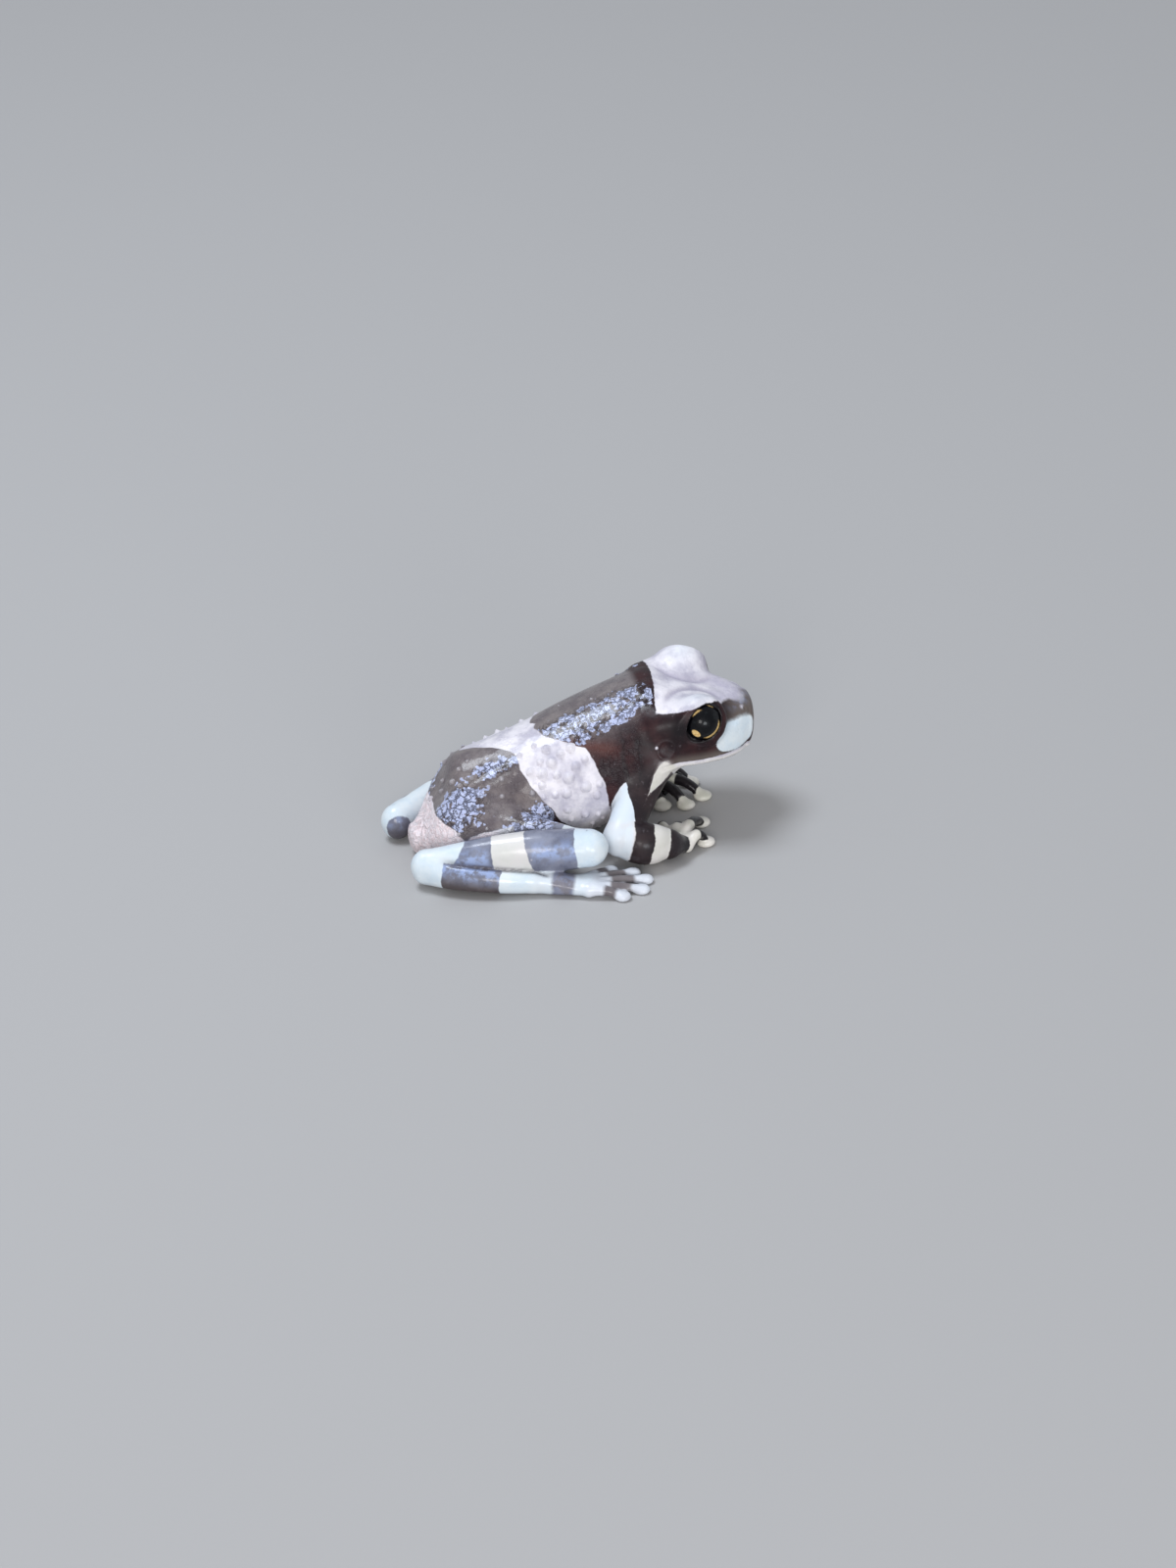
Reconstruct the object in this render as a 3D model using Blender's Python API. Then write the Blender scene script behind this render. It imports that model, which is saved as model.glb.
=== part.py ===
"""A still, life-size Amazon milk frog that sits with folded hind legs and its hands under its chin.

Metres, +Z up. +X runs towards the snout and +Y to the frog's left. The floor is Z = 0, and the hands,
feet, shanks and belly rest on it. Stations are given in fiftieths of the snout-vent length, 1 mm here.
"""

import math

import bmesh
import bpy
from mathutils import Matrix, Vector

# Driving dimensions, in metres
SNOUT_VENT = 0.050
GAP = 0.0003  # between neighbouring pieces
WEB_THICKNESS = 0.0006

# Stations below count in this unit
UNIT = SNOUT_VENT / 50.0

# Trunk stations along X: x, height of the widest level, half width, rise above it, drop below it
TRUNK = (
    (-19.3, 2.6, 2.6, 1.9, 2.0),
    (-17.6, 3.2, 4.2, 2.9, 3.0),
    (-15.6, 4.2, 5.4, 4.7, 4.1),
    (-13.8, 5.2, 6.2, 7.5, 5.3),
    (-11.8, 5.7, 6.7, 8.1, 5.8),
    (-7.5, 6.2, 7.5, 8.6, 6.3),
    (-2.5, 7.0, 8.6, 9.2, 7.0),
    (2.0, 8.0, 9.2, 9.8, 7.3),
    (6.0, 9.4, 9.2, 9.7, 7.8),
    (10.0, 11.7, 8.9, 8.4, 7.4),
    (13.5, 13.2, 8.2, 7.2, 6.0),
    (16.0, 14.0, 7.0, 6.0, 4.8),
)
TRUNK_CAPS = (1.0, 1.5)

# Head frame: its origin lies inside the nape, its X along the head. It is pitched down, rolled and turned right
HEAD_ORIGIN = (12.5, 0.0, 15.2)
HEAD_PITCH = 10.4
HEAD_ROLL = 6.0
HEAD_YAW = -3.8
HEAD = (
    (-5.0, -0.6, 6.7, 4.3, 3.6),
    (-1.0, -1.3, 8.5, 6.5, 4.0),
    (2.0, -1.5, 9.0, 7.0, 3.9),
    (6.0, -1.4, 8.6, 6.8, 3.8),
    (9.3, -1.2, 7.4, 6.1, 3.9),
    (11.8, -1.0, 5.9, 5.1, 3.9),
    (13.3, -0.6, 4.5, 4.0, 3.5),
)
HEAD_CAPS = (1.0, 1.3)
NECK_X = -1.2
MOUTH_LINE = ((-2.5, -2.7), (0.5, -2.7), (4.0, -2.4), (8.0, -2.1), (12.0, -1.9), (18.0, -1.6))
LIP_RADIUS = 0.42
LIP_SINK = 0.35  # share of its radius that the lip's middle lies inside the head
LIP_FROM_X = 0.4
LIP_NOSE_ANGLES = (12.0, 22.0)  # where the lip rounds the snout

# Eyes, lids, ear discs and nostrils, in the head frame for the left side
EYE = (5.95, 6.75, 3.1)
EYE_RADIUS = 2.65
LID_RADIUS = 3.4
LID_OPENING = 2.4
GAZE = (0.0, 0.93, 0.30)
EAR = (1.3, 8.75, -0.3)
EAR_RADIUS = 1.15
EAR_DEPTH = 0.7
NOSTRIL = (12.4, 3.0, 2.75)
NOSTRIL_RADIUS = 0.36

# Girths: share of the length, half width, half height
THIGH_GIRTH = ((0.0, 3.3, 4.3), (0.3, 3.0, 3.6), (0.65, 2.6, 2.9), (0.9, 2.1, 2.3), (1.0, 1.9, 2.0))
SHANK_GIRTH = ((0.0, 2.5, 2.5), (0.25, 2.6, 2.9), (0.55, 2.4, 2.8), (0.85, 2.1, 2.4), (1.0, 2.0, 2.3))
TARSUS_GIRTH = ((0.0, 2.0, 2.3), (0.3, 2.0, 2.1), (0.7, 1.7, 1.8), (1.0, 1.6, 1.5))
UPPER_ARM_GIRTH = ((0.0, 2.9, 2.9), (0.4, 2.6, 2.7), (0.8, 2.3, 2.4), (1.0, 2.1, 2.2))
FOREARM_GIRTH = ((0.0, 2.3, 2.4), (0.35, 2.7, 2.8), (0.75, 2.5, 2.6), (1.0, 2.1, 2.0))
PALM_GIRTH = ((0.0, 1.9, 1.6), (0.5, 2.3, 1.5), (1.0, 2.2, 1.1))
SOLE_GIRTH = ((0.0, 1.5, 1.5), (0.5, 1.7, 1.4), (1.0, 2.1, 1.0))

# Joints of the legs on each side. The frog's left is +Y, and its left heel lies further back
POSE = {
    "right": {
        "hip": (-14.2, -4.4, 5.3),
        "knee": (0.5, -15.6, 5.0),
        "heel": (-19.9, -8.9, 2.7),
        "ankle": (-7.4, -15.9, 1.7),
        "toe_root": (-0.6, -18.3, 1.0),
        "shoulder": (11.3, -6.0, 10.6),
        "elbow": (5.4, -12.6, 4.0),
        "wrist": (11.4, -13.2, 2.4),
        "finger_root": (13.2, -11.2, 1.3),
        "finger_tips": ((12.4, -5.8), (15.0, -6.6), (18.0, -5.2), (17.2, -10.8)),
        "shank_lift": 0.9,
        "toe_tips": ((3.4, -14.4), (6.0, -15.9), (7.1, -18.3), (6.0, -20.8), (3.2, -21.8)),
    },
    "left": {
        "hip": (-12.8, 4.0, 5.1),
        "knee": (0.4, 14.9, 3.8),
        "heel": (-20.7, 5.8, 2.4),
        "ankle": (-8.8, 14.3, 1.7),
        "toe_root": (-2.0, 17.6, 1.0),
        "shoulder": (11.3, 6.0, 10.6),
        "elbow": (6.0, 12.4, 4.0),
        "wrist": (12.0, 9.4, 2.4),
        "finger_root": (14.4, 6.6, 1.3),
        "finger_tips": ((14.4, 1.2), (17.4, 0.4), (20.2, 2.2), (19.6, 6.6)),
        "shank_lift": 0.3,
        "toe_tips": ((1.2, 15.0), (3.6, 16.8), (4.6, 19.4), (3.2, 21.8), (0.4, 22.4)),
    },
}
SHANK_BOW = 0.9
TARSUS_BOW = 1.5
FOREARM_BOW = 0.8
FINGER = {"root": 0.95, "tip": 0.68, "disc": 1.25, "arch": 1.3, "web": 0.42, "fan": 3.4}
TOE = {"root": 0.8, "tip": 0.55, "disc": 1.05, "arch": 0.35, "web": 0.72, "fan": 3.0}
DISC_HALF_THICKNESS = 0.62
DISC_LEVEL = 0.45
DISC_WIDTH_SHARE = 0.92  # of its length
WEB_LEVEL = 0.1
WEB_HOLLOW = 0.8  # how far the middle of a web's edge reaches, to its sides

# Facets round each kind of piece, and rings between two stations
BODY_SIDES = 30
LIMB_SIDES = 14
DIGIT_SIDES = 8
BODY_STEPS = 2
LIMB_STEPS = 2
DOME_ANGLES = (24.0, 46.0, 68.0)

FAR = 60.0  # reach of the cutters
SHARP_ANGLE = 50.0

# Base colour and roughness of each kind of surface
MATERIALS = {
    "trunk_skin": ((0.24, 0.20, 0.20), 0.42),
    "head_skin": ((0.62, 0.57, 0.60), 0.40),
    "limb_skin": ((0.58, 0.66, 0.70), 0.38),
    "hand_skin": ((0.55, 0.55, 0.47), 0.40),
    "ear_skin": ((0.06, 0.04, 0.04), 0.45),
    "eye": ((0.02, 0.015, 0.012), 0.08),
}


def clear_scene():
    for obj in list(bpy.data.objects):
        bpy.data.objects.remove(obj)


def material(name, kind):
    colour, roughness = MATERIALS[kind]
    made = bpy.data.materials.new(name)
    made.use_nodes = True
    surface = made.node_tree.nodes["Principled BSDF"]
    surface.inputs["Base Color"].default_value = (*colour, 1.0)
    surface.inputs["Roughness"].default_value = roughness
    surface.inputs["Metallic"].default_value = 0.0
    return made


def catmull_rom(t, a, b, c, d):
    square = (2 * a - 5 * b + 4 * c - d) * t**2
    return 0.5 * (2 * b + (c - a) * t + square + (3 * (b - c) + d - a) * t**3)


def spread(rows, steps):
    """Rows of numbers with steps - 1 more between each two, on one Catmull-Rom curve through them."""
    padded = [rows[0], *rows, rows[-1]]
    found = []
    for i in range(1, len(padded) - 2):
        before, start, end, after = padded[i - 1 : i + 3]
        for k in range(steps):
            t = k / steps
            found.append(
                tuple(catmull_rom(t, *values) for values in zip(before, start, end, after))
            )
    found.append(rows[-1])
    return found


def upright_rows(stations):
    """Rows of x, y, z, half width, rise and drop for a body whose stations stand across X."""
    return [(x, 0.0, z, width, rise, drop) for x, z, width, rise, drop in stations]


def limb_rows(start, end, girth, bow=(0.0, 0.0, 0.0)):
    """Rows along a line from start to end that bows out by bow at its middle."""
    rows = []
    for share, width, height in girth:
        place = Vector(start).lerp(Vector(end), share) + Vector(bow) * (4 * share * (1 - share))
        rows.append((*place, width, height, height))
    return rows


def new_object(name, mesh_data):
    mesh = bpy.data.meshes.new(name)
    mesh_data.to_mesh(mesh)
    mesh_data.free()
    obj = bpy.data.objects.new(name, mesh)
    bpy.context.scene.collection.objects.link(obj)
    return obj


def loft(name, rows, sides, steps, upright=False, caps=None, swell=0.0, matrix=None):
    """A closed body of oval rings through the rows, in metres, with a rounded dome on each end."""
    rows = spread(rows, steps)
    places = [Vector(row[:3]) for row in rows]
    grown = swell / UNIT
    rings = []

    def ring(place, across, up, width, rise, drop):
        points = []
        for k in range(sides):
            angle = 2 * math.pi * k / sides
            height = rise if math.sin(angle) > 0 else drop
            points.append(place + across * (math.cos(angle) * width) + up * (math.sin(angle) * height))
        rings.append(points)

    def frame(i):
        if upright:
            return Vector((1, 0, 0)), Vector((0, 1, 0)), Vector((0, 0, 1))
        ahead = (places[min(i + 1, len(places) - 1)] - places[max(i - 1, 0)]).normalized()
        across = Vector((0, 0, 1)).cross(ahead).normalized()
        return ahead, across, ahead.cross(across)

    def dome(i, turn, angles):
        ahead, across, up = frame(i)
        width, rise, drop = (size + grown for size in rows[i][3:])
        reach = (caps[0 if turn < 0 else 1] if caps else min(width, rise, drop)) + grown
        for angle in angles:
            out, share = math.sin(math.radians(angle)), math.cos(math.radians(angle))
            place = places[i] + ahead * (turn * reach * out)
            ring(place, across, up, width * share, rise * share, drop * share)
        return places[i] + ahead * (turn * reach)

    first_pole = dome(0, -1, DOME_ANGLES[::-1])
    for i, row in enumerate(rows):
        _, across, up = frame(i)
        ring(places[i], across, up, *(size + grown for size in row[3:]))
    last_pole = dome(len(rows) - 1, 1, DOME_ANGLES)

    body = bmesh.new()
    loops = [[body.verts.new(point) for point in points] for points in rings]
    for near, far in zip(loops, loops[1:]):
        for k in range(sides):
            body.faces.new((near[k], near[k - 1], far[k - 1], far[k]))
    for pole, loop in ((first_pole, loops[0]), (last_pole, loops[-1])):
        tip = body.verts.new(pole)
        for k in range(sides):
            body.faces.new((tip, loop[k - 1], loop[k]))
    bmesh.ops.recalc_face_normals(body, faces=body.faces)
    bmesh.ops.triangulate(body, faces=body.faces)
    body.transform(Matrix.Scale(UNIT, 4) @ (matrix or Matrix.Identity(4)))
    return new_object(name, body)


def ball(name, centre, radii, matrix=None, around=18, along=10):
    body = bmesh.new()
    bmesh.ops.create_uvsphere(body, u_segments=around, v_segments=along, radius=1.0)
    place = Matrix.Translation(centre) @ Matrix.Diagonal((*radii, 1.0))
    body.transform(Matrix.Scale(UNIT, 4) @ (matrix or Matrix.Identity(4)) @ place)
    return new_object(name, body)


def rod(name, start, direction, radius, length, matrix=None, around=20):
    """A round bar from start along direction."""
    body = bmesh.new()
    ends = {"radius1": radius, "radius2": radius}
    bmesh.ops.create_cone(body, cap_ends=True, segments=around, depth=length, **ends)
    turn = Vector(direction).normalized().to_track_quat("Z", "Y").to_matrix().to_4x4()
    place = Matrix.Translation(start) @ turn @ Matrix.Translation((0, 0, length / 2))
    body.transform(Matrix.Scale(UNIT, 4) @ (matrix or Matrix.Identity(4)) @ place)
    return new_object(name, body)


def prism(name, outline, low, high, across="Y", matrix=None):
    """An outline of x, z points drawn out along Y from low to high, or of x, y points along Z."""
    body = bmesh.new()
    if across == "Y":
        corners = [Vector((a, low, b)) for a, b in outline]
        way = Vector((0, high - low, 0))
    else:
        corners = [Vector((a, b, low)) for a, b in outline]
        way = Vector((0, 0, high - low))
    face = body.faces.new([body.verts.new(corner) for corner in corners])
    drawn = bmesh.ops.extrude_face_region(body, geom=[face])["geom"]
    bmesh.ops.translate(body, vec=way, verts=[v for v in drawn if isinstance(v, bmesh.types.BMVert)])
    bmesh.ops.recalc_face_normals(body, faces=body.faces)
    bmesh.ops.triangulate(body, faces=body.faces)
    body.transform(Matrix.Scale(UNIT, 4) @ (matrix or Matrix.Identity(4)))
    return new_object(name, body)


def combine(obj, others, operation):
    """Joins the other objects to obj, or cuts them from it, by one applied Boolean, and removes them."""
    group = bpy.data.collections.new("operands")
    bpy.context.scene.collection.children.link(group)
    for other in others:
        group.objects.link(other)
    boolean = obj.modifiers.new(operation.lower(), "BOOLEAN")
    boolean.operation = operation
    boolean.operand_type = "COLLECTION"
    boolean.collection = group
    graph = bpy.context.evaluated_depsgraph_get()
    result = bpy.data.meshes.new_from_object(obj.evaluated_get(graph))
    obj.modifiers.clear()
    obj.data = result
    for other in others:
        bpy.data.objects.remove(other)
    bpy.data.collections.remove(group)
    keep_largest(obj)
    return obj


def keep_largest(obj):
    """Drops every closed surface of obj but the one with the most volume."""
    body = bmesh.new()
    body.from_mesh(obj.data)
    left = set(body.faces)
    shells = []
    while left:
        shell, edge_of_shell = set(), [left.pop()]
        while edge_of_shell:
            face = edge_of_shell.pop()
            shell.add(face)
            for edge in face.edges:
                for other in edge.link_faces:
                    if other in left:
                        left.remove(other)
                        edge_of_shell.append(other)
        shells.append(shell)
    if len(shells) > 1:
        largest = max(shells, key=shell_volume)
        spare = [face for shell in shells if shell is not largest for face in shell]
        bmesh.ops.delete(body, geom=spare, context="FACES")
        body.to_mesh(obj.data)
    body.free()


def shell_volume(shell):
    total = 0.0
    for face in shell:
        corners = [corner.co for corner in face.verts]
        for b, c in zip(corners[1:], corners[2:]):
            total += corners[0].dot(b.cross(c))
    return abs(total)


def finish(obj, name, kind):
    """Cuts obj off at the floor, then names, paints and shades it."""
    if min(v.co.z for v in obj.data.vertices) < 0:
        square = ((-FAR, -FAR), (FAR, -FAR), (FAR, FAR), (-FAR, FAR))
        combine(obj, [prism("below", square, -FAR, 0.0, across="Z")], "DIFFERENCE")
    obj.name = name
    obj.data.name = name
    obj.data.materials.clear()
    obj.data.materials.append(material(name, kind))
    obj.data.shade_smooth()
    obj.data.set_sharp_from_angle(angle=math.radians(SHARP_ANGLE))


def head_matrix():
    pitch = Matrix.Rotation(math.radians(HEAD_PITCH), 4, "Y")
    roll = Matrix.Rotation(math.radians(HEAD_ROLL), 4, "X")
    yaw = Matrix.Rotation(math.radians(HEAD_YAW), 4, "Z")
    return Matrix.Translation(HEAD_ORIGIN) @ yaw @ roll @ pitch


def trunk_body(swell=0.0):
    return loft("trunk", upright_rows(TRUNK), BODY_SIDES, BODY_STEPS, True, TRUNK_CAPS, swell)


def skull_body(swell=0.0):
    rows = upright_rows(HEAD)
    return loft("skull", rows, BODY_SIDES, BODY_STEPS, True, HEAD_CAPS, swell, head_matrix())


def on_side(point, side):
    """A point or direction of the frog's left side, mirrored where side is right."""
    x, y, z = point
    return Vector((x, y if side == "left" else -y, z))


def mouth_height(x):
    for (x0, z0), (x1, z1) in zip(MOUTH_LINE, MOUTH_LINE[1:]):
        if x <= x1:
            return z0 + (z1 - z0) * (x - x0) / (x1 - x0)
    return MOUTH_LINE[-1][1]


def lip_bead():
    """A bead along the mouth on the head's outline, from one jaw angle round the snout to the other."""
    rows = spread(upright_rows(HEAD), 3)
    width, rise, drop = rows[-1][3:]
    outline = [(x, z, w, d) for x, _, z, w, _, d in rows if x >= LIP_FROM_X]
    for angle in LIP_NOSE_ANGLES:
        share = math.cos(math.radians(angle))
        x = rows[-1][0] + HEAD_CAPS[1] * math.sin(math.radians(angle))
        outline.append((x, rows[-1][2], width * share, drop * share))
    side = []
    for x, level, half_width, depth in outline:
        z = mouth_height(x)
        share = (level - z) / depth
        if share < 0.95:
            side.append((x, half_width * math.sqrt(1 - share**2) - LIP_RADIUS * LIP_SINK, z))
    path = [(x, -y, z) for x, y, z in side] + side[::-1]
    rows = [(*point, LIP_RADIUS, LIP_RADIUS, LIP_RADIUS) for point in path]
    return loft("lip", rows, 8, 1, matrix=head_matrix())


def build_head_and_trunk():
    """The trunk and head are made whole, then parted at the neck and along the mouth by thin cuts."""
    place = head_matrix()
    half_gap = GAP / UNIT / 2
    lids = [ball("lid", on_side(EYE, side), (LID_RADIUS,) * 3, place) for side in POSE]
    whole = combine(trunk_body(), [skull_body(), lip_bead(), *lids], "UNION")

    def part(name, *cutters):
        piece = whole.copy()
        piece.data = whole.data.copy()
        bpy.context.scene.collection.objects.link(piece)
        return combine(piece, list(cutters), "DIFFERENCE")

    def neck_cut(turn):
        x = NECK_X - turn * half_gap
        outline = ((x, -FAR), (x, FAR), (x + turn * FAR, FAR), (x + turn * FAR, -FAR))
        return prism("neck", outline, -FAR, FAR, matrix=place)

    def mouth_cut(turn):
        line = [(x, z - turn * half_gap) for x, z in MOUTH_LINE]
        line = [(-FAR, line[0][1]), *line, (FAR, line[-1][1])]
        outline = [*line, (FAR, turn * FAR), (-FAR, turn * FAR)]
        return prism("mouth", outline, -FAR, FAR, matrix=place)

    sockets = []
    for side in POSE:
        centre, gaze, ear = on_side(EYE, side), on_side(GAZE, side), on_side(EAR, side)
        outward = on_side((0.0, 1.0, 0.0), side)
        sockets.append(ball("socket", centre, (EYE_RADIUS + 2 * half_gap,) * 3, place))
        sockets.append(rod("opening", centre, gaze, LID_OPENING, 8.0, place))
        sockets.append(ball("nostril", on_side(NOSTRIL, side), (NOSTRIL_RADIUS,) * 3, place, 8, 6))
        floor = ear - outward * (EAR_DEPTH + 2 * half_gap)
        sockets.append(rod("ear", floor, outward, EAR_RADIUS + 2 * half_gap, 4.0, place, 14))
    finish(part("torso", neck_cut(1)), "torso", "trunk_skin")
    finish(part("head", neck_cut(-1), mouth_cut(-1), *sockets), "head", "head_skin")
    finish(part("lower_jaw", neck_cut(-1), mouth_cut(1)), "lower_jaw", "head_skin")
    bpy.data.objects.remove(whole)


def build_eyes_and_ears():
    place = head_matrix()
    for side in POSE:
        eye = ball(f"eye_{side}", on_side(EYE, side), (EYE_RADIUS,) * 3, place, 20, 12)
        finish(eye, f"eye_{side}", "eye")
        outward = on_side((0.0, 1.0, 0.0), side)
        back = on_side(EAR, side) - outward * EAR_DEPTH
        disc = rod("ear", back, outward, EAR_RADIUS, EAR_DEPTH * 1.2, place, 14)
        finish(disc, f"tympanum_{side}", "ear_skin")


def segment(start, end, girth, bow=(0.0, 0.0, 0.0), swell=0.0):
    return loft("segment", limb_rows(start, end, girth, bow), LIMB_SIDES, LIMB_STEPS, swell=swell)


def outward_bow(side, amount, lift=0.0):
    return (0.0, amount if side == "left" else -amount, lift)


def digit(root, tip, sizes):
    """A finger or toe that arches from its root to a round disc flat on the floor."""
    root, tip = Vector(root), Vector((*tip, DISC_LEVEL))
    thick, thin = sizes["root"], sizes["tip"]
    girth = ((0.0, thick, thick), (0.5, thin * 1.1, thin * 1.1), (1.0, thin, thin * 0.8))
    stem = loft("digit", limb_rows(root, tip, girth, (0, 0, sizes["arch"])), DIGIT_SIDES, 2)
    heading = math.atan2(tip.y - root.y, tip.x - root.x)
    turned = Matrix.Translation(tip) @ Matrix.Rotation(heading, 4, "Z")
    radii = (sizes["disc"], sizes["disc"] * DISC_WIDTH_SHARE, DISC_HALF_THICKNESS)
    disc = ball("disc", (0, 0, 0), radii, turned, 12, 6)
    return [stem, disc]


def web(root, tip_a, tip_b, sizes):
    """A thin skin between two digits, with a hollow edge."""
    root, a, b = Vector(root).to_2d(), Vector(tip_a), Vector(tip_b)
    share = sizes["web"]
    edge = [root.lerp(a, share), root.lerp((a + b) / 2, share * WEB_HOLLOW), root.lerp(b, share)]
    outline = [root - (a + b - 2 * root).normalized() * 0.6, *edge]
    top = WEB_LEVEL + WEB_THICKNESS / UNIT
    return prism("web", [tuple(p) for p in outline], WEB_LEVEL, top, across="Z")


def paw(palm_start, root, tips, girth, sizes):
    """A hand or foot: palm or sole, digits with their discs, and the webs between them, in one body."""
    palm = segment(palm_start, root, girth)
    across = (Vector(tips[-1]) - Vector(tips[0])).normalized()
    roots = []
    for i, _ in enumerate(tips):
        offset = across * (sizes["fan"] * (i / (len(tips) - 1) - 0.5))
        roots.append((root[0] + offset.x, root[1] + offset.y, root[2]))
    pieces = []
    for start, tip in zip(roots, tips):
        pieces += digit(start, tip, sizes)
    for i in range(len(tips) - 1):
        middle = (Vector(roots[i]) + Vector(roots[i + 1])) / 2
        pieces.append(web(middle, tips[i], tips[i + 1], sizes))
    return combine(palm, pieces, "UNION")


def limb_solids(side, swell=0.0):
    """Makers of the plain limb solids of one side by name."""
    joint = POSE[side]
    shank_bow = outward_bow(side, SHANK_BOW, joint["shank_lift"])
    plan = {
        "thigh": (joint["hip"], joint["knee"], THIGH_GIRTH, (0, 0, 0)),
        "shank": (joint["knee"], joint["heel"], SHANK_GIRTH, shank_bow),
        "tarsus": (joint["heel"], joint["ankle"], TARSUS_GIRTH, outward_bow(side, TARSUS_BOW)),
        "upper_arm": (joint["shoulder"], joint["elbow"], UPPER_ARM_GIRTH, (0, 0, 0)),
        "forearm": (joint["elbow"], joint["wrist"], FOREARM_GIRTH, outward_bow(side, FOREARM_BOW)),
    }
    return lambda name: segment(*plan[name], swell=swell)


def build_hind_leg(side):
    joint = POSE[side]
    plain, swollen = limb_solids(side), limb_solids(side, GAP)
    piece = combine(plain("shank"), [trunk_body(GAP)], "DIFFERENCE")
    finish(piece, f"shank_{side}", "limb_skin")
    piece = combine(plain("thigh"), [trunk_body(GAP), swollen("shank")], "DIFFERENCE")
    finish(piece, f"thigh_{side}", "limb_skin")
    piece = combine(plain("tarsus"), [trunk_body(GAP), swollen("shank")], "DIFFERENCE")
    finish(piece, f"tarsus_{side}", "limb_skin")
    foot = paw(joint["ankle"], joint["toe_root"], joint["toe_tips"], SOLE_GIRTH, TOE)
    foot = combine(foot, [swollen("shank"), swollen("tarsus"), swollen("forearm")], "DIFFERENCE")
    finish(foot, f"foot_{side}", "hand_skin")


def build_fore_leg(side):
    joint = POSE[side]
    plain, swollen = limb_solids(side), limb_solids(side, GAP)
    near = [trunk_body(GAP), swollen("thigh"), swollen("shank")]
    finish(combine(plain("forearm"), near, "DIFFERENCE"), f"forearm_{side}", "limb_skin")
    near = [trunk_body(GAP), skull_body(GAP), swollen("thigh"), swollen("shank"), swollen("forearm")]
    finish(combine(plain("upper_arm"), near, "DIFFERENCE"), f"upper_arm_{side}", "limb_skin")
    hand = paw(joint["wrist"], joint["finger_root"], joint["finger_tips"], PALM_GIRTH, FINGER)
    finish(combine(hand, [swollen("forearm")], "DIFFERENCE"), f"hand_{side}", "hand_skin")


def stand_on_origin():
    """Moves the whole frog so that the origin is under the middle of its bounding box, on the floor."""
    points = [v.co for obj in bpy.data.objects for v in obj.data.vertices]
    middle = [(min(p[k] for p in points) + max(p[k] for p in points)) / 2 for k in range(2)]
    for obj in bpy.data.objects:
        obj.data.transform(Matrix.Translation((-middle[0], -middle[1], 0.0)))


clear_scene()
build_head_and_trunk()
build_eyes_and_ears()
for body_side in POSE:
    build_hind_leg(body_side)
    build_fore_leg(body_side)
stand_on_origin()
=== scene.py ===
"""The looks of the milk frog: one banded skin over the solids, warts, wet eyes, a floor and soft light.

Shapes are worked out in millimetres in the frog's own frame: X runs towards the snout, Y to its left and Z up
from the floor, and the origin is under the body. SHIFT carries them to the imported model's frame, in metres.
"""

import math

import bmesh
import bpy
import numpy as np
from mathutils import Matrix, Vector


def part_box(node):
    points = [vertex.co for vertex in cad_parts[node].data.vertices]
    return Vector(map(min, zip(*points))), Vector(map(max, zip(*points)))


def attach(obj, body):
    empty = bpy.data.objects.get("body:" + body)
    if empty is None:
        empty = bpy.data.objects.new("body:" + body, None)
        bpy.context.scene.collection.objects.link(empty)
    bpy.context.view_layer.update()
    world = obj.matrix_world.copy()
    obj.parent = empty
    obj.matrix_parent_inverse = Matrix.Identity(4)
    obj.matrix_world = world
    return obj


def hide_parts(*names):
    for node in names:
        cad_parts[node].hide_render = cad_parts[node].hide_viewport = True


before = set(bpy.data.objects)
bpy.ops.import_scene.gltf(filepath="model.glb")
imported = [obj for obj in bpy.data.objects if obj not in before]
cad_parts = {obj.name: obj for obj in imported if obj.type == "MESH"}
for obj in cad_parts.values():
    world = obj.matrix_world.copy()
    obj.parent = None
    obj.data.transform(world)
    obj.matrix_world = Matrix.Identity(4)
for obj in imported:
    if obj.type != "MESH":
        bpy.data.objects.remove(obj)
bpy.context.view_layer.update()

MM = 0.001
SIDES = {"right": -1.0, "left": 1.0}

# Trunk stations along X: x, height of the widest level, half width, rise above it, drop below it
TRUNK = (
    (-19.3, 2.6, 2.6, 1.9, 2.0),
    (-17.6, 3.2, 4.2, 2.9, 3.0),
    (-15.6, 4.2, 5.4, 4.7, 4.1),
    (-13.8, 5.2, 6.2, 7.5, 5.3),
    (-11.8, 5.7, 6.7, 8.1, 5.8),
    (-7.5, 6.2, 7.5, 8.6, 6.3),
    (-2.5, 7.0, 8.6, 9.2, 7.0),
    (2.0, 8.0, 9.2, 9.8, 7.3),
    (6.0, 9.4, 9.2, 9.7, 7.8),
    (10.0, 11.7, 8.9, 8.4, 7.4),
    (13.5, 13.2, 8.2, 7.2, 6.0),
    (16.0, 14.0, 7.0, 6.0, 4.8),
)
TRUNK_CAPS = (1.0, 1.5)

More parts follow.
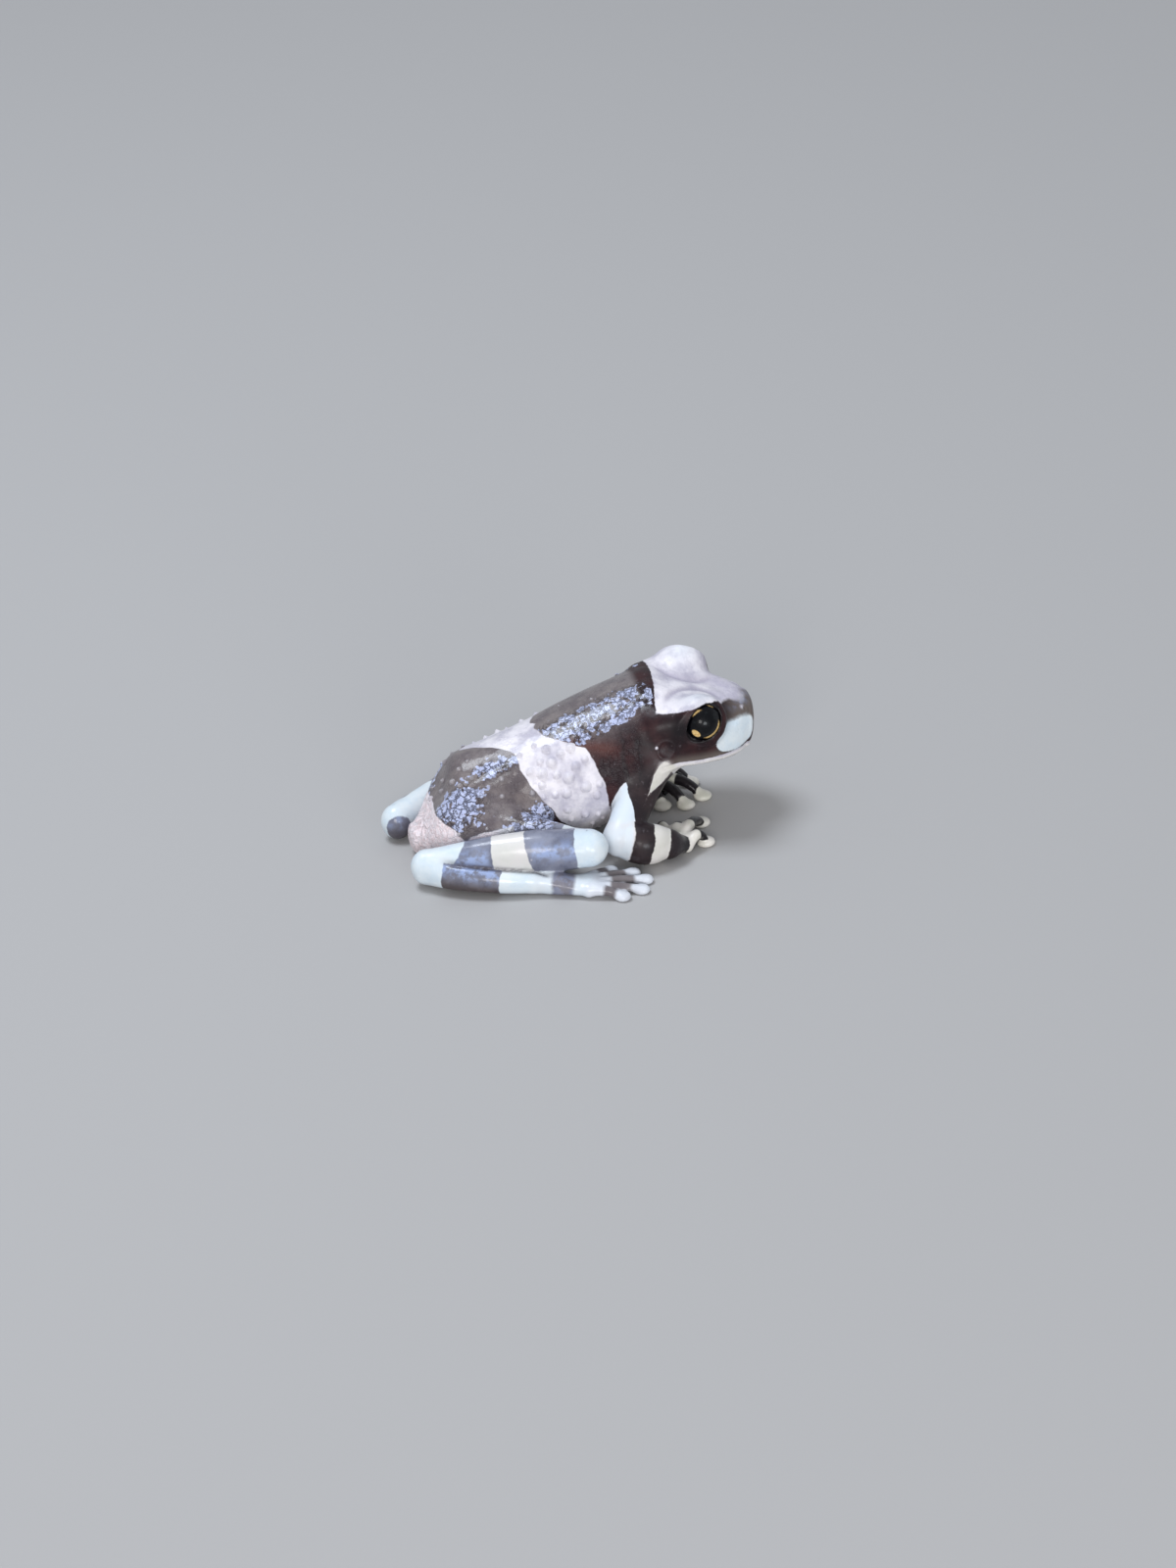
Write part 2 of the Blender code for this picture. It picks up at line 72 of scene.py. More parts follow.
# Head stations in the head's own frame, which is pitched down, and rolled and turned to the frog's right
HEAD_ORIGIN = (12.5, 0.0, 15.2)
HEAD_PITCH = 10.4
HEAD_ROLL = 6.0
HEAD_YAW = -3.8
HEAD = (
    (-6.5, -1.4, 4.6, 2.6, 2.6),
    (-4.0, -0.9, 7.0, 4.6, 3.7),
    (-1.0, -1.3, 8.5, 6.5, 4.0),
    (2.0, -1.5, 9.0, 7.0, 3.9),
    (6.0, -1.4, 8.6, 6.8, 3.8),
    (9.3, -1.2, 7.4, 6.1, 3.9),
    (11.8, -1.0, 5.9, 5.1, 3.9),
    (13.3, -0.6, 4.5, 4.0, 3.5),
)
HEAD_CAPS = (1.0, 1.3)
MOUTH_LINE = ((-2.5, -2.7), (0.5, -2.7), (4.0, -2.4), (8.0, -2.1), (12.0, -1.9), (18.0, -1.6))

# Eyes, lids, ear discs and nostrils, in the head frame for the left side
EYE = (5.95, 6.75, 3.1)
EYE_RADIUS = 2.65
EYE_INSET = 0.02  # how much smaller than that the socket and the eyeball are
LID_RADIUS = 3.3
LID_FACE = 1.25
LID_THINNING = 0.42  # how much of the lid's thickness is gone at its edge
LID_OPENING = (2.05, 2.5)  # half sizes, along the head and upwards
LID_LEAN = 0.28  # how far its top leans towards the snout
LID_SLANT = 35.0  # how steeply the upper lid's edge rises towards the snout
LID_CUT = 2.0  # how far above the middle of the eye that edge passes
BROW_END = (0.6, 6.0, 2.0)
BROW_GIRTH = ((0.0, 2.7, 2.8), (0.5, 2.3, 2.3), (1.0, 1.8, 1.6))
GAZE = (0.0, 0.93, 0.30)
EAR = (1.3, 8.75, -0.3)
EAR_RADIUS = 1.15
NOSTRIL = (12.4, 3.0, 2.75)

# Girths: share of the length, half width, half height
THIGH_GIRTH = ((0.0, 3.3, 4.3), (0.3, 3.0, 3.6), (0.65, 2.6, 2.9), (0.9, 2.1, 2.3), (1.0, 1.9, 2.0))
SHANK_GIRTH = ((0.0, 2.5, 2.5), (0.25, 2.6, 2.9), (0.55, 2.4, 2.8), (0.85, 2.1, 2.4), (1.0, 2.0, 2.3))
TARSUS_GIRTH = ((0.0, 2.0, 2.3), (0.3, 2.0, 2.1), (0.7, 1.7, 1.8), (1.0, 1.6, 1.5))
UPPER_ARM_GIRTH = ((0.0, 2.9, 2.9), (0.4, 2.6, 2.7), (0.8, 2.3, 2.4), (1.0, 2.1, 2.2))
FOREARM_GIRTH = ((0.0, 2.3, 2.4), (0.35, 2.7, 2.8), (0.75, 2.5, 2.6), (1.0, 2.1, 2.0))
PALM_GIRTH = ((0.0, 1.9, 1.6), (0.5, 2.3, 1.5), (1.0, 2.2, 1.1))
SOLE_GIRTH = ((0.0, 1.5, 1.5), (0.5, 1.7, 1.4), (1.0, 2.1, 1.0))

POSE = {
    "right": {
        "hip": (-14.2, -4.4, 5.3),
        "knee": (0.5, -15.6, 5.0),
        "heel": (-19.9, -8.9, 2.7),
        "ankle": (-7.4, -15.9, 1.7),
        "toe_root": (-0.6, -18.3, 1.0),
        "shoulder": (11.3, -6.0, 10.6),
        "elbow": (5.4, -12.6, 4.0),
        "wrist": (11.4, -13.2, 2.4),
        "finger_root": (13.2, -11.2, 1.3),
        "finger_tips": ((12.4, -5.8), (15.0, -6.6), (18.0, -5.2), (17.2, -10.8)),
        "shank_lift": 0.9,
        "toe_tips": ((3.4, -14.4), (6.0, -15.9), (7.1, -18.3), (6.0, -20.8), (3.2, -21.8)),
    },
    "left": {
        "hip": (-12.8, 4.0, 5.1),
        "knee": (0.4, 14.9, 3.8),
        "heel": (-20.7, 5.8, 2.4),
        "ankle": (-8.8, 14.3, 1.7),
        "toe_root": (-2.0, 17.6, 1.0),
        "shoulder": (11.3, 6.0, 10.6),
        "elbow": (6.0, 12.4, 4.0),
        "wrist": (12.0, 9.4, 2.4),
        "finger_root": (14.4, 6.6, 1.3),
        "finger_tips": ((14.4, 1.2), (17.4, 0.4), (20.2, 2.2), (19.6, 6.6)),
        "shank_lift": 0.3,
        "toe_tips": ((1.2, 15.0), (3.6, 16.8), (4.6, 19.4), (3.2, 21.8), (0.4, 22.4)),
    },
}
SHANK_BOW = 0.9
TARSUS_BOW = 1.5
FOREARM_BOW = 0.8
FINGER = {"root": 0.95, "tip": 0.68, "disc": 1.25, "arch": 1.3, "web": 0.42, "fan": 3.4}
TOE = {"root": 0.8, "tip": 0.55, "disc": 1.05, "arch": 0.35, "web": 0.72, "fan": 3.0}
DISC_HALF_THICKNESS = 0.62
DISC_LEVEL = 0.45

# Radii of the fillets where forms meet; the long ones give radius, loss, and shares of the length it takes
FILLETS = {
    "nape": 1.8, "brow": 1.8, "lid": 1.4, "lid rim": 0.3, "socket": 0.12, "shank": 0.3, "tarsus": 0.4,
    "forearm": 0.7, "hand": 0.7, "foot": 0.45, "palm": 0.5, "digit": 0.7, "disc": 0.5,
}
LONG_FILLETS = {"thigh": (3.2, 2.4, 0.35, 0.95), "upper_arm": (2.4, 2.0, 0.3, 0.8)}

GRID = 0.29  # spacing of the samples that the skin is drawn from
SLAB = 12  # how many layers of samples are worked out at once
MARGIN = 1.5
REACH = 3.5  # how far from a form its distance is still worked out


def smooth_rows(rows, steps=8):
    """Rows of numbers with more between each two, on one Catmull-Rom curve through them."""
    padded = np.array([rows[0], *rows, rows[-1]], dtype=float)
    found = []
    for a, b, c, d in zip(padded, padded[1:], padded[2:], padded[3:]):
        for k in range(steps):
            t = k / steps
            bend = (2 * a - 5 * b + 4 * c - d) * t**2 + (3 * (b - c) + d - a) * t**3
            found.append(0.5 * (2 * b + (c - a) * t + bend))
    found.append(padded[-1])
    return np.array(found)


def turn_about(axis, degrees):
    return np.array(Matrix.Rotation(math.radians(degrees), 3, axis))


HEAD_TURN = turn_about("Z", HEAD_YAW) @ turn_about("X", HEAD_ROLL) @ turn_about("Y", HEAD_PITCH)
HEAD_PLACE = np.array(HEAD_ORIGIN)


def to_head(points):
    return (points - HEAD_PLACE) @ HEAD_TURN


def from_head(point):
    return HEAD_TURN @ np.array(point) + HEAD_PLACE


def on_side(point, side):
    """A point or direction of the frog's left side, mirrored where side is right."""
    return np.array((point[0], point[1] * SIDES[side], point[2]))


eye_box = np.array(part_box("eye_left"))
SHIFT = eye_box.mean(axis=0) / MM - from_head(EYE)


def step(values, low, high):
    """Runs smoothly from 0 at low to 1 at high."""
    t = np.clip((values - low) / (high - low), 0, 1)
    return t * t * (3 - 2 * t)


def fade(values, low, high):
    """Runs smoothly from 1 at low to 0 at high."""
    return 1 - step(values, low, high)


def between(values, low, high, fall, end):
    """Rises smoothly from low to high and falls from fall to end."""
    return step(values, low, high) * fade(values, fall, end)


def crease(distance, width):
    """Near 1 where the distance is small beside the width."""
    return np.exp(-((distance / width) ** 2))


def join(a, b, radius):
    """The nearer of two distances, with a fillet of the given radius where they meet."""
    near = np.maximum(radius - np.abs(a - b), 0) / radius
    return np.minimum(a, b) - near * near * radius / 4


def carve(a, b, radius):
    """What is left of a once b is taken away, with a rounded rim."""
    return -join(-a, b, radius)


def oval(parts):
    """Distance from a body; on its surface the squares of the offsets over half sizes add up to 1."""
    inner = np.sqrt(sum((offset / size) ** 2 for offset, size in parts))
    steep = np.sqrt(sum((offset / size**2) ** 2 for offset, size in parts))
    return inner * (inner - 1) / np.maximum(steep, 1e-6)


def eye_offsets(head_points, side):
    """How far points lie from the middle of an eye: along its gaze, towards the snout and upwards."""
    off = head_points - on_side(EYE, side)
    gaze = on_side(GAZE, side) / np.linalg.norm(GAZE)
    up = np.array((0.0, -gaze[2] * SIDES[side], abs(gaze[1])))
    return off @ gaze, off[:, 0], off @ up


def opening_edge(head_points, side):
    """How far points lie outside the opening of an eyelid, and how far along the gaze."""
    along, ahead, up = eye_offsets(head_points, side)
    half_ahead, half_up = LID_OPENING
    slant = math.radians(LID_SLANT)
    upper = up * math.cos(slant) - ahead * math.sin(slant) - LID_CUT
    leaning = ahead - LID_LEAN * up
    beside = (np.hypot(leaning / half_ahead, up / half_up) - 1) * (half_ahead + half_up) / 2
    return np.maximum(beside, upper) - 0.25 * (along - LID_FACE), along


def upright_body(points, rows, caps):
    """Distance from a body of oval sections that stand across X."""
    x = np.clip(points[:, 0], rows[0, 0], rows[-1, 0])
    level, width, rise, drop = (np.interp(x, rows[:, 0], rows[:, k]) for k in range(1, 5))
    over = points[:, 2] - level
    beyond = points[:, 0] - x
    cap = np.where(beyond > 0, caps[1], caps[0])
    return oval(((beyond, cap), (points[:, 1], width), (over, np.where(over > 0, rise, drop))))


class Form:
    """A limb or other drawn-out form: a line that may bow, with a girth along it."""

    def __init__(self, start, end, girth, bow=(0.0, 0.0, 0.0)):
        self.start = np.array(start, dtype=float)
        self.run = np.array(end, dtype=float) - self.start
        self.girth = smooth_rows(girth)
        self.bow = np.array(bow, dtype=float)
        self.length = float(np.linalg.norm(self.run))
        self.ahead = self.run / self.length
        across = np.cross((0.0, 0.0, 1.0), self.ahead)
        self.across = across / np.linalg.norm(across)
        self.up = np.cross(self.ahead, self.across)
        swell = self.girth[:, 1:].max() + np.abs(self.bow)
        self.low = np.minimum(self.start, self.start + self.run) - swell
        self.high = np.maximum(self.start, self.start + self.run) + swell

    def share(self, points):
        return np.clip((points - self.start) @ self.run / self.length**2, 0, 1)

    def offsets(self, points, share):
        middle = self.start + share[:, None] * self.run + (4 * share * (1 - share))[:, None] * self.bow
        return points - middle

    def along(self, points):
        return (points - self.start) @ self.ahead

    def off_line(self, points, way):
        """How far points lie from the line in one direction."""
        return self.offsets(points, self.share(points)) @ way

    def distance(self, points):
        share = self.share(points)
        off = self.offsets(points, share)
        width = np.interp(share, self.girth[:, 0], self.girth[:, 1])
        height = np.interp(share, self.girth[:, 0], self.girth[:, 2])
        end = np.minimum(width, height)
        return oval(((off @ self.ahead, end), (off @ self.across, width), (off @ self.up, height)))


class Ball:
    """An upright oval ball."""

    def __init__(self, centre, sizes):
        self.centre = np.array(centre, dtype=float)
        self.sizes = np.array(sizes, dtype=float) * np.ones(3)
        self.low, self.high = self.centre - self.sizes, self.centre + self.sizes

    def distance(self, points):
        return oval(tuple(zip((points - self.centre).T, self.sizes)))


class Web:
    """A thin sheet of skin on the floor between two digits, with a hollow front edge."""

    def __init__(self, root, tip_a, tip_b, share):
        root, a, b = np.array(root[:2]), np.array(tip_a), np.array(tip_b)
        self.corners = [root, root + (a - root) * share, root + (b - root) * share]
        middle = (a + b) / 2
        self.hollow = root + (middle - root) * (share + 0.35)
        self.hollow_radius = 0.42 * np.linalg.norm(middle - root)
        self.low = np.append(np.min(self.corners, axis=0), 0.0)
        self.high = np.append(np.max(self.corners, axis=0), 1.0)

    def distance(self, points):
        flat = np.full(len(points), -1e3)
        middle = np.mean(self.corners, axis=0)
        for start, end in zip(self.corners, [*self.corners[1:], self.corners[0]]):
            edge = (end - start) / np.linalg.norm(end - start)
            out = np.array((edge[1], -edge[0]))
            out = out if (start - middle) @ out > 0 else -out
            flat = np.maximum(flat, (points[:, :2] - start) @ out)
        flat = np.maximum(flat, self.hollow_radius - np.linalg.norm(points[:, :2] - self.hollow, axis=1))
        return np.maximum(flat, np.abs(points[:, 2] - 0.5) - 0.32)


def outward(side, amount, lift=0.0):
    return (0.0, amount * SIDES[side], lift)


def limb_forms(side):
    joint = POSE[side]
    shank_bow = outward(side, SHANK_BOW, joint["shank_lift"])
    return {
        "thigh": Form(joint["hip"], joint["knee"], THIGH_GIRTH),
        "shank": Form(joint["knee"], joint["heel"], SHANK_GIRTH, shank_bow),
        "tarsus": Form(joint["heel"], joint["ankle"], TARSUS_GIRTH, outward(side, TARSUS_BOW)),
        "upper_arm": Form(joint["shoulder"], joint["elbow"], UPPER_ARM_GIRTH),
        "forearm": Form(joint["elbow"], joint["wrist"], FOREARM_GIRTH, outward(side, FOREARM_BOW)),
        "palm": Form(joint["wrist"], joint["finger_root"], PALM_GIRTH),
        "sole": Form(joint["ankle"], joint["toe_root"], SOLE_GIRTH),
    }


def digit_forms(root, tips, sizes):
    """The stems, discs and webs of a hand or foot, each with its tip's number."""
    across = np.array(tips[-1]) - np.array(tips[0])
    across = across / np.linalg.norm(across)
    stems, discs, webs = [], [], []
    roots = []
    for i, tip in enumerate(tips):
        offset = across * sizes["fan"] * (i / (len(tips) - 1) - 0.5)
        start = (root[0] + offset[0], root[1] + offset[1], root[2])
        roots.append(start)
        thick, thin = sizes["root"], sizes["tip"]
        girth = ((0.0, thick, thick), (0.5, thin * 1.1, thin * 1.1), (1.0, thin, thin * 0.8))
        stems.append(Form(start, (*tip, DISC_LEVEL), girth, (0.0, 0.0, sizes["arch"])))
        discs.append(Ball((*tip, DISC_LEVEL), (sizes["disc"], sizes["disc"], DISC_HALF_THICKNESS)))
    for i in range(len(tips) - 1):
        middle = (np.array(roots[i]) + np.array(roots[i + 1])) / 2
        webs.append(Web(middle, tips[i], tips[i + 1], sizes["web"]))
    return stems, discs, webs


LIMBS = {side: limb_forms(side) for side in SIDES}
DIGITS = {}
for side_name, pose in POSE.items():
    DIGITS[side_name, "hand"] = digit_forms(pose["finger_root"], pose["finger_tips"], FINGER)
    DIGITS[side_name, "foot"] = digit_forms(pose["toe_root"], pose["toe_tips"], TOE)
TRUNK_ROWS = smooth_rows(TRUNK)
HEAD_ROWS = smooth_rows(HEAD)


def add(distance, points, form, radius):
    """Joins a form to the distances, worked out only for the points near it."""
    near = ((points > form.low - REACH) & (points < form.high + REACH)).all(axis=1)
    some = points[near]
    size = radius(some) if callable(radius) else radius
    distance[near] = join(distance[near], form.distance(some), size)


def long_fillet(name, form):
    """The fillet of a form, as a radius that shrinks along it."""
    radius, loss, low, high = LONG_FILLETS[name]
    return lambda points: radius - loss * step(form.share(points), low, high)


def flesh(points):
    """Distance from the frog's surface, below 0 inside it."""
    head_points = to_head(points)
    distance = body_distance(points, head_points)
    for side in SIDES:
        lid = Ball(on_side(EYE, side), LID_RADIUS)
        brow = Form(on_side(EYE, side) + (-0.5, 0, 0), on_side(BROW_END, side), BROW_GIRTH)
        add(distance, head_points, brow, FILLETS["brow"])
        add(distance, head_points, lid, FILLETS["lid"])
    for side, limbs in LIMBS.items():
        for name in LONG_FILLETS:
            add(distance, points, limbs[name], long_fillet(name, limbs[name]))
        for name in ("shank", "tarsus", "forearm"):
            add(distance, points, limbs[name], FILLETS[name])
        for kind, middle in (("hand", "palm"), ("foot", "sole")):
            paw = paw_distance(points, limbs[middle], DIGITS[side, kind])
            distance = join(distance, paw, FILLETS[kind])
    return carve_sockets(distance, head_points)


def body_distance(points, head_points):
    """Distance from the trunk and head, which run into each other over the nape and part under the jaw."""
    trunk = upright_body(points, TRUNK_ROWS, TRUNK_CAPS)
    head = upright_body(head_points, HEAD_ROWS, HEAD_CAPS)
    x, y, z = head_points.T
    hollow = between(x, -1.0, 3.0, 9.0, 12.0) * step(z, 1.0, 3.0)
    head = head + 0.75 * hollow * np.exp(-((y / 2.6) ** 2))
    ahead = step(x, -5.0, 0.5)
    above = step(z, -3.5, -0.5)
    apart = join(trunk, head, FILLETS["nape"])
    return apart + (trunk + (head - trunk) * ahead - apart) * above


def paw_distance(points, palm, digits):
    """Distance from a hand or foot."""
    stems, discs, webs = digits
    distance = np.full(len(points), 1e3)
    add(distance, points, palm, FILLETS["palm"])
    for form in stems:
        add(distance, points, form, FILLETS["digit"])
    for form in [*discs, *webs]:
        add(distance, points, form, FILLETS["disc"])
    return distance


def carve_sockets(distance, head_points):
    for side in SIDES:
        centre = on_side(EYE, side)
        near = (np.abs(head_points - centre) < LID_RADIUS + REACH).all(axis=1)
        edge, along = opening_edge(head_points[near], side)
        thinned = distance[near] + LID_THINNING * fade(edge, 0.0, 1.5) * step(along, 0.4, 1.6)
        rim = carve(thinned, np.maximum(edge, LID_FACE - along), FILLETS["lid rim"])
        ball = np.linalg.norm(head_points[near] - centre, axis=1) - EYE_RADIUS + EYE_INSET
        distance[near] = carve(rim, ball, FILLETS["socket"])
    return distance


def surface_net(values, axes):
    """Points and quads where sampled distances cross 0, with a point in each cell that is crossed."""
    inside = values < 0
    corners = list(np.ndindex(2, 2, 2))
    count = sum(corner_block(inside, corner).astype(np.int8) for corner in corners)
    cells = np.argwhere((count > 0) & (count < 8))
    number = np.full(count.shape, -1, dtype=np.int64)
    number[tuple(cells.T)] = np.arange(len(cells))
    samples = np.stack([corner_block(values, corner)[tuple(cells.T)] for corner in corners], axis=1)
    total = np.zeros((len(cells), 3))
    hits = np.zeros(len(cells))
    for a in range(8):
        for b in range(a + 1, 8):
            if sum(abs(p - q) for p, q in zip(corners[a], corners[b])) != 1:
                continue
            cross = (samples[:, a] < 0) != (samples[:, b] < 0)
            t = samples[cross, a] / (samples[cross, a] - samples[cross, b])
            ends = np.array(corners[a]), np.array(corners[b])
            total[cross] += ends[0] + t[:, None] * (ends[1] - ends[0])
            hits[cross] += 1
    points = (cells + total / hits[:, None]) * GRID + np.array([axis[0] for axis in axes])
    return points, net_quads(inside, number)


def corner_block(samples, corner):
    i, j, k = corner
    nx, ny, nz = samples.shape
    return samples[i : nx - 1 + i, j : ny - 1 + j, k : nz - 1 + k]


# The four cells round an edge of the grid along X, Y and Z
EDGE_RINGS = (
    ((0, -1, -1), (0, 0, -1), (0, 0, 0), (0, -1, 0)),
    ((-1, 0, -1), (-1, 0, 0), (0, 0, 0), (0, 0, -1)),
    ((-1, -1, 0), (0, -1, 0), (0, 0, 0), (-1, 0, 0)),
)


def net_quads(inside, number):
    """A quad round each edge of the grid that the surface crosses."""
    quads = []
    for axis, ring in enumerate(EDGE_RINGS):
        after = [slice(None)] * 3
        before = [slice(None)] * 3
        after[axis], before[axis] = slice(1, None), slice(None, -1)
        first, second = inside[tuple(before)], inside[tuple(after)]
        for leaving in (True, False):
            edges = np.argwhere((first & ~second) if leaving else (second & ~first))
            around = [number[tuple((edges + np.array(offset)).T)] for offset in ring]
            quads.append(np.stack(around if leaving else around[::-1], axis=1))
    return np.concatenate(quads)


def slope(points, distance_of):
    """Directions in which the distance grows, one for each point."""
    reach = 0.04
    found = np.zeros_like(points)
    for axis in range(3):
        offset = np.zeros(3)
        offset[axis] = reach
        found[:, axis] = (distance_of(points + offset) - distance_of(points - offset)) / (2 * reach)
    return found


def settle(points, rounds):
    """Moves points onto the frog's surface, and returns them with their outward directions."""
    for _ in range(rounds):
        ahead = slope(points, flesh)
        size = np.maximum((ahead**2).sum(axis=1), 0.05)
        move = np.clip(flesh(points) / size, -0.2, 0.2)
        points = points - ahead * move[:, None]
    ahead = slope(points, flesh)
    return points, ahead / np.maximum(np.linalg.norm(ahead, axis=1), 1e-6)[:, None]


def draw_skin():
    """Samples the distances on a grid and returns the skin's points and quads."""
    boxes = np.array([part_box(name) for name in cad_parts]) / MM - SHIFT
    low = boxes[:, 0].min(axis=0) - MARGIN
    high = boxes[:, 1].max(axis=0) + MARGIN
    axes = [np.arange(a, b, GRID) for a, b in zip(low, high)]
    values = np.empty([len(axis) for axis in axes])
    flat = np.stack(np.meshgrid(axes[1], axes[2], indexing="ij"), axis=-1).reshape(-1, 2)
    for i in range(0, len(axes[0]), SLAB):
        xs = axes[0][i : i + SLAB]
        points = np.column_stack((np.repeat(xs, len(flat)), np.tile(flat, (len(xs), 1))))
        values[i : i + SLAB] = flesh(points).reshape(len(xs), len(axes[1]), len(axes[2]))
    return surface_net(values, axes)


def mouth_offset(head_points):
    """How far above the line of the mouth each point of the head lies."""
    line = np.array(MOUTH_LINE)
    return head_points[:, 2] - np.interp(head_points[:, 0], line[:, 0], line[:, 1])


def refine(points, quads):
    """Splits the faces round the mouth, eyes, ears and nostrils in four, and everything into triangles."""
    body = bmesh.new()
    verts = [body.verts.new(p) for p in points]
    for quad in quads:
        body.faces.new([verts[i] for i in quad])
    local = to_head(points)
    fine = (np.abs(mouth_offset(local)) < 0.9) & (local[:, 0] > -0.5) & (local[:, 2] < -1)
    for side in SIDES:
        for place, reach in ((NOSTRIL, 1.0), (EAR, EAR_RADIUS + 0.6)):
            fine |= np.linalg.norm(local - on_side(place, side), axis=1) < reach
        off_eye = local - on_side(EYE, side)
        near_eye = np.linalg.norm(off_eye, axis=1) < LID_RADIUS + 0.4
        fine |= near_eye & (off_eye @ on_side(GAZE, side) > 0.2)
    body.verts.index_update()
    chosen = [edge for edge in body.edges if fine[edge.verts[0].index] and fine[edge.verts[1].index]]
    bmesh.ops.subdivide_edges(body, edges=chosen, cuts=1, use_grid_fill=True)
    bmesh.ops.triangulate(body, faces=body.faces)
    body.verts.index_update()
    found = np.array([v.co[:] for v in body.verts])
    tris = np.array([[v.index for v in face.verts] for face in body.faces])
    body.free()
    return found, tris


def place_object(name, data):
    obj = bpy.data.objects.new(name, data)
    bpy.context.scene.collection.objects.link(obj)
    return obj


def new_mesh(name, points, faces, values):
    """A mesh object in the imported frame, from points in millimetres, with named values at its points."""
    mesh = bpy.data.meshes.new(name)
    mesh.from_pydata(((points + SHIFT) * MM).tolist(), [], faces.tolist())
    mesh.shade_smooth()
    for key, numbers in values.items():
        layer = mesh.attributes.new(key, "FLOAT", "POINT")
        layer.data.foreach_set("value", np.asarray(numbers, dtype=np.float32))
    return place_object(name, mesh)


# Edges of the bands round the trunk: angle from the top of the back, and x
SHOULDER_EDGE = (
    (0, -2.2), (5, -2.7), (20, -1.8), (35, 0.8), (45, 2.9), (61, 3.6), (81, 4.7), (100, 4.9), (140, 7.0),
)
SADDLE_EDGE = (
    (-105, -1.0), (-60, -7.0), (-30, -11.0), (-12, -12.4), (0, -10.3), (9, -8.4), (20, -6.5), (27, -5.8),
    (41, -5.8), (57, -5.0), (79, -3.1), (98, -1.6), (110, 0.0),
)  # the angle is below 0 on the frog's left
BELLY_EDGE = ((-20, 96), (-8, 118), (4, 122), (9, 118), (14, 108))  # x, and angle where the belly starts
BELLY_SCALE = 0.13  # mm for each degree
RUMP_EDGE = ((-20.0, 8.6), (-17.0, 7.4), (-15.5, 6.6), (-14.5, 5.2), (-11.0, 4.3), (-5.0, 1.0))  # x, z
LID_LINE = (
    (-6.5, 0.6), (-5.7, 0.8), (-3.7, 1.1), (-2.6, 1.5), (-1.4, 2.0), (0.0, 2.7), (1.3, 2.9), (2.4, 2.6),
)  # x and height of the white above the eye, from the eye's middle
SNOUT_WIDTH = (
    (6.5, 6.2), (8.6, 4.6), (9.4, 3.2), (10.4, 2.6), (11.6, 2.5), (12.8, 2.7), (14.2, 3.2),
)  # x, and half width of the white
SNOUT_LEVEL = 3.7  # z where that white ends
CROWN_END = 8.4
CROWN_START = 0.3
NAPE = 2.0  # how far behind the head's origin the trunk's pattern takes over
CHEEK_SPOT = (11.05, 0.5, 2.9, 1.95)  # x and z of its middle, and its half sizes
CHEEK_SQUARENESS = 2.5
THROAT_PATCH = (11.6, 10.1, 2.5, 0.85)  # x and z of its middle, and its half sizes along and across
THROAT_SLANT = 38.0
FAR_HEEL_SPOT = (-20.7, 3.6, 1.9)
FAR_HEEL_RADIUS = 1.9
FAR_HEEL_STRETCH = (1.0, 1.0, 1.15)
DOTS_AND_GLINT = (
    ((0.3, -8.6, 0.9), 0.06),
    ((0.0, -8.6, -0.1), 0.13),
    ((2.0, -8.7, 0.3), 0.04),
    # the last one is a painted highlight beside the near nostril
    ((12.1, -3.2, 3.2), 0.16),
)  # pale dots on the head, with their radii

# Soft spots of the trunk: strength, x and angle of the middle, and half sizes in x and angle. The first table
# places patches of painted bluish highlight; the brown spot is the skin's own colour.
PAINTED_HIGHLIGHT_SPOTS = ((1.0, -14.9, 56, 3.4, 21), (1.0, -5.4, 88, 3.8, 11), (0.8, -9.0, 31, 3.0, 9))
BROWN_SPOT = (0.35, -6.0, 60, 3.2, 15)
RUST_ANGLE = 33
RUST_SLANT = 3.7  # degrees for each mm of x

# Edges of the bands along each part of a limb, in mm from its start; the first stretch is pale
BANDS = {
    "thigh": (8.7, 14.9),
    "shank": (1.5, 7.5, 12.3, 18.3),
    "tarsus": (2.8, 10.6),
    "sole": (2.7, 5.5, 9.0),
    "forearm": (1.2, 3.9, 6.3),
    "palm": (-9.0, 2.4),
}
DIGIT_BANDS = {"hand": (0.45, 0.9), "foot": (0.4, 0.8)}  # the same along a digit, as shares of its length
SHANK_SLANTS = (0.0, -0.17, 0.0, 0.95)  # how far each edge of the shank's bands leans with height
# The shanks and tarsi get a painted bluish sheen, a painted highlight, at this height
PAINTED_SHEEN_LEVEL = {"shank": 0.9, "tarsus": 1.5}  # height of the bluish sheen above the middle of the limb
ARM_SLANT = 1.59
ARM_EDGE = 9.1

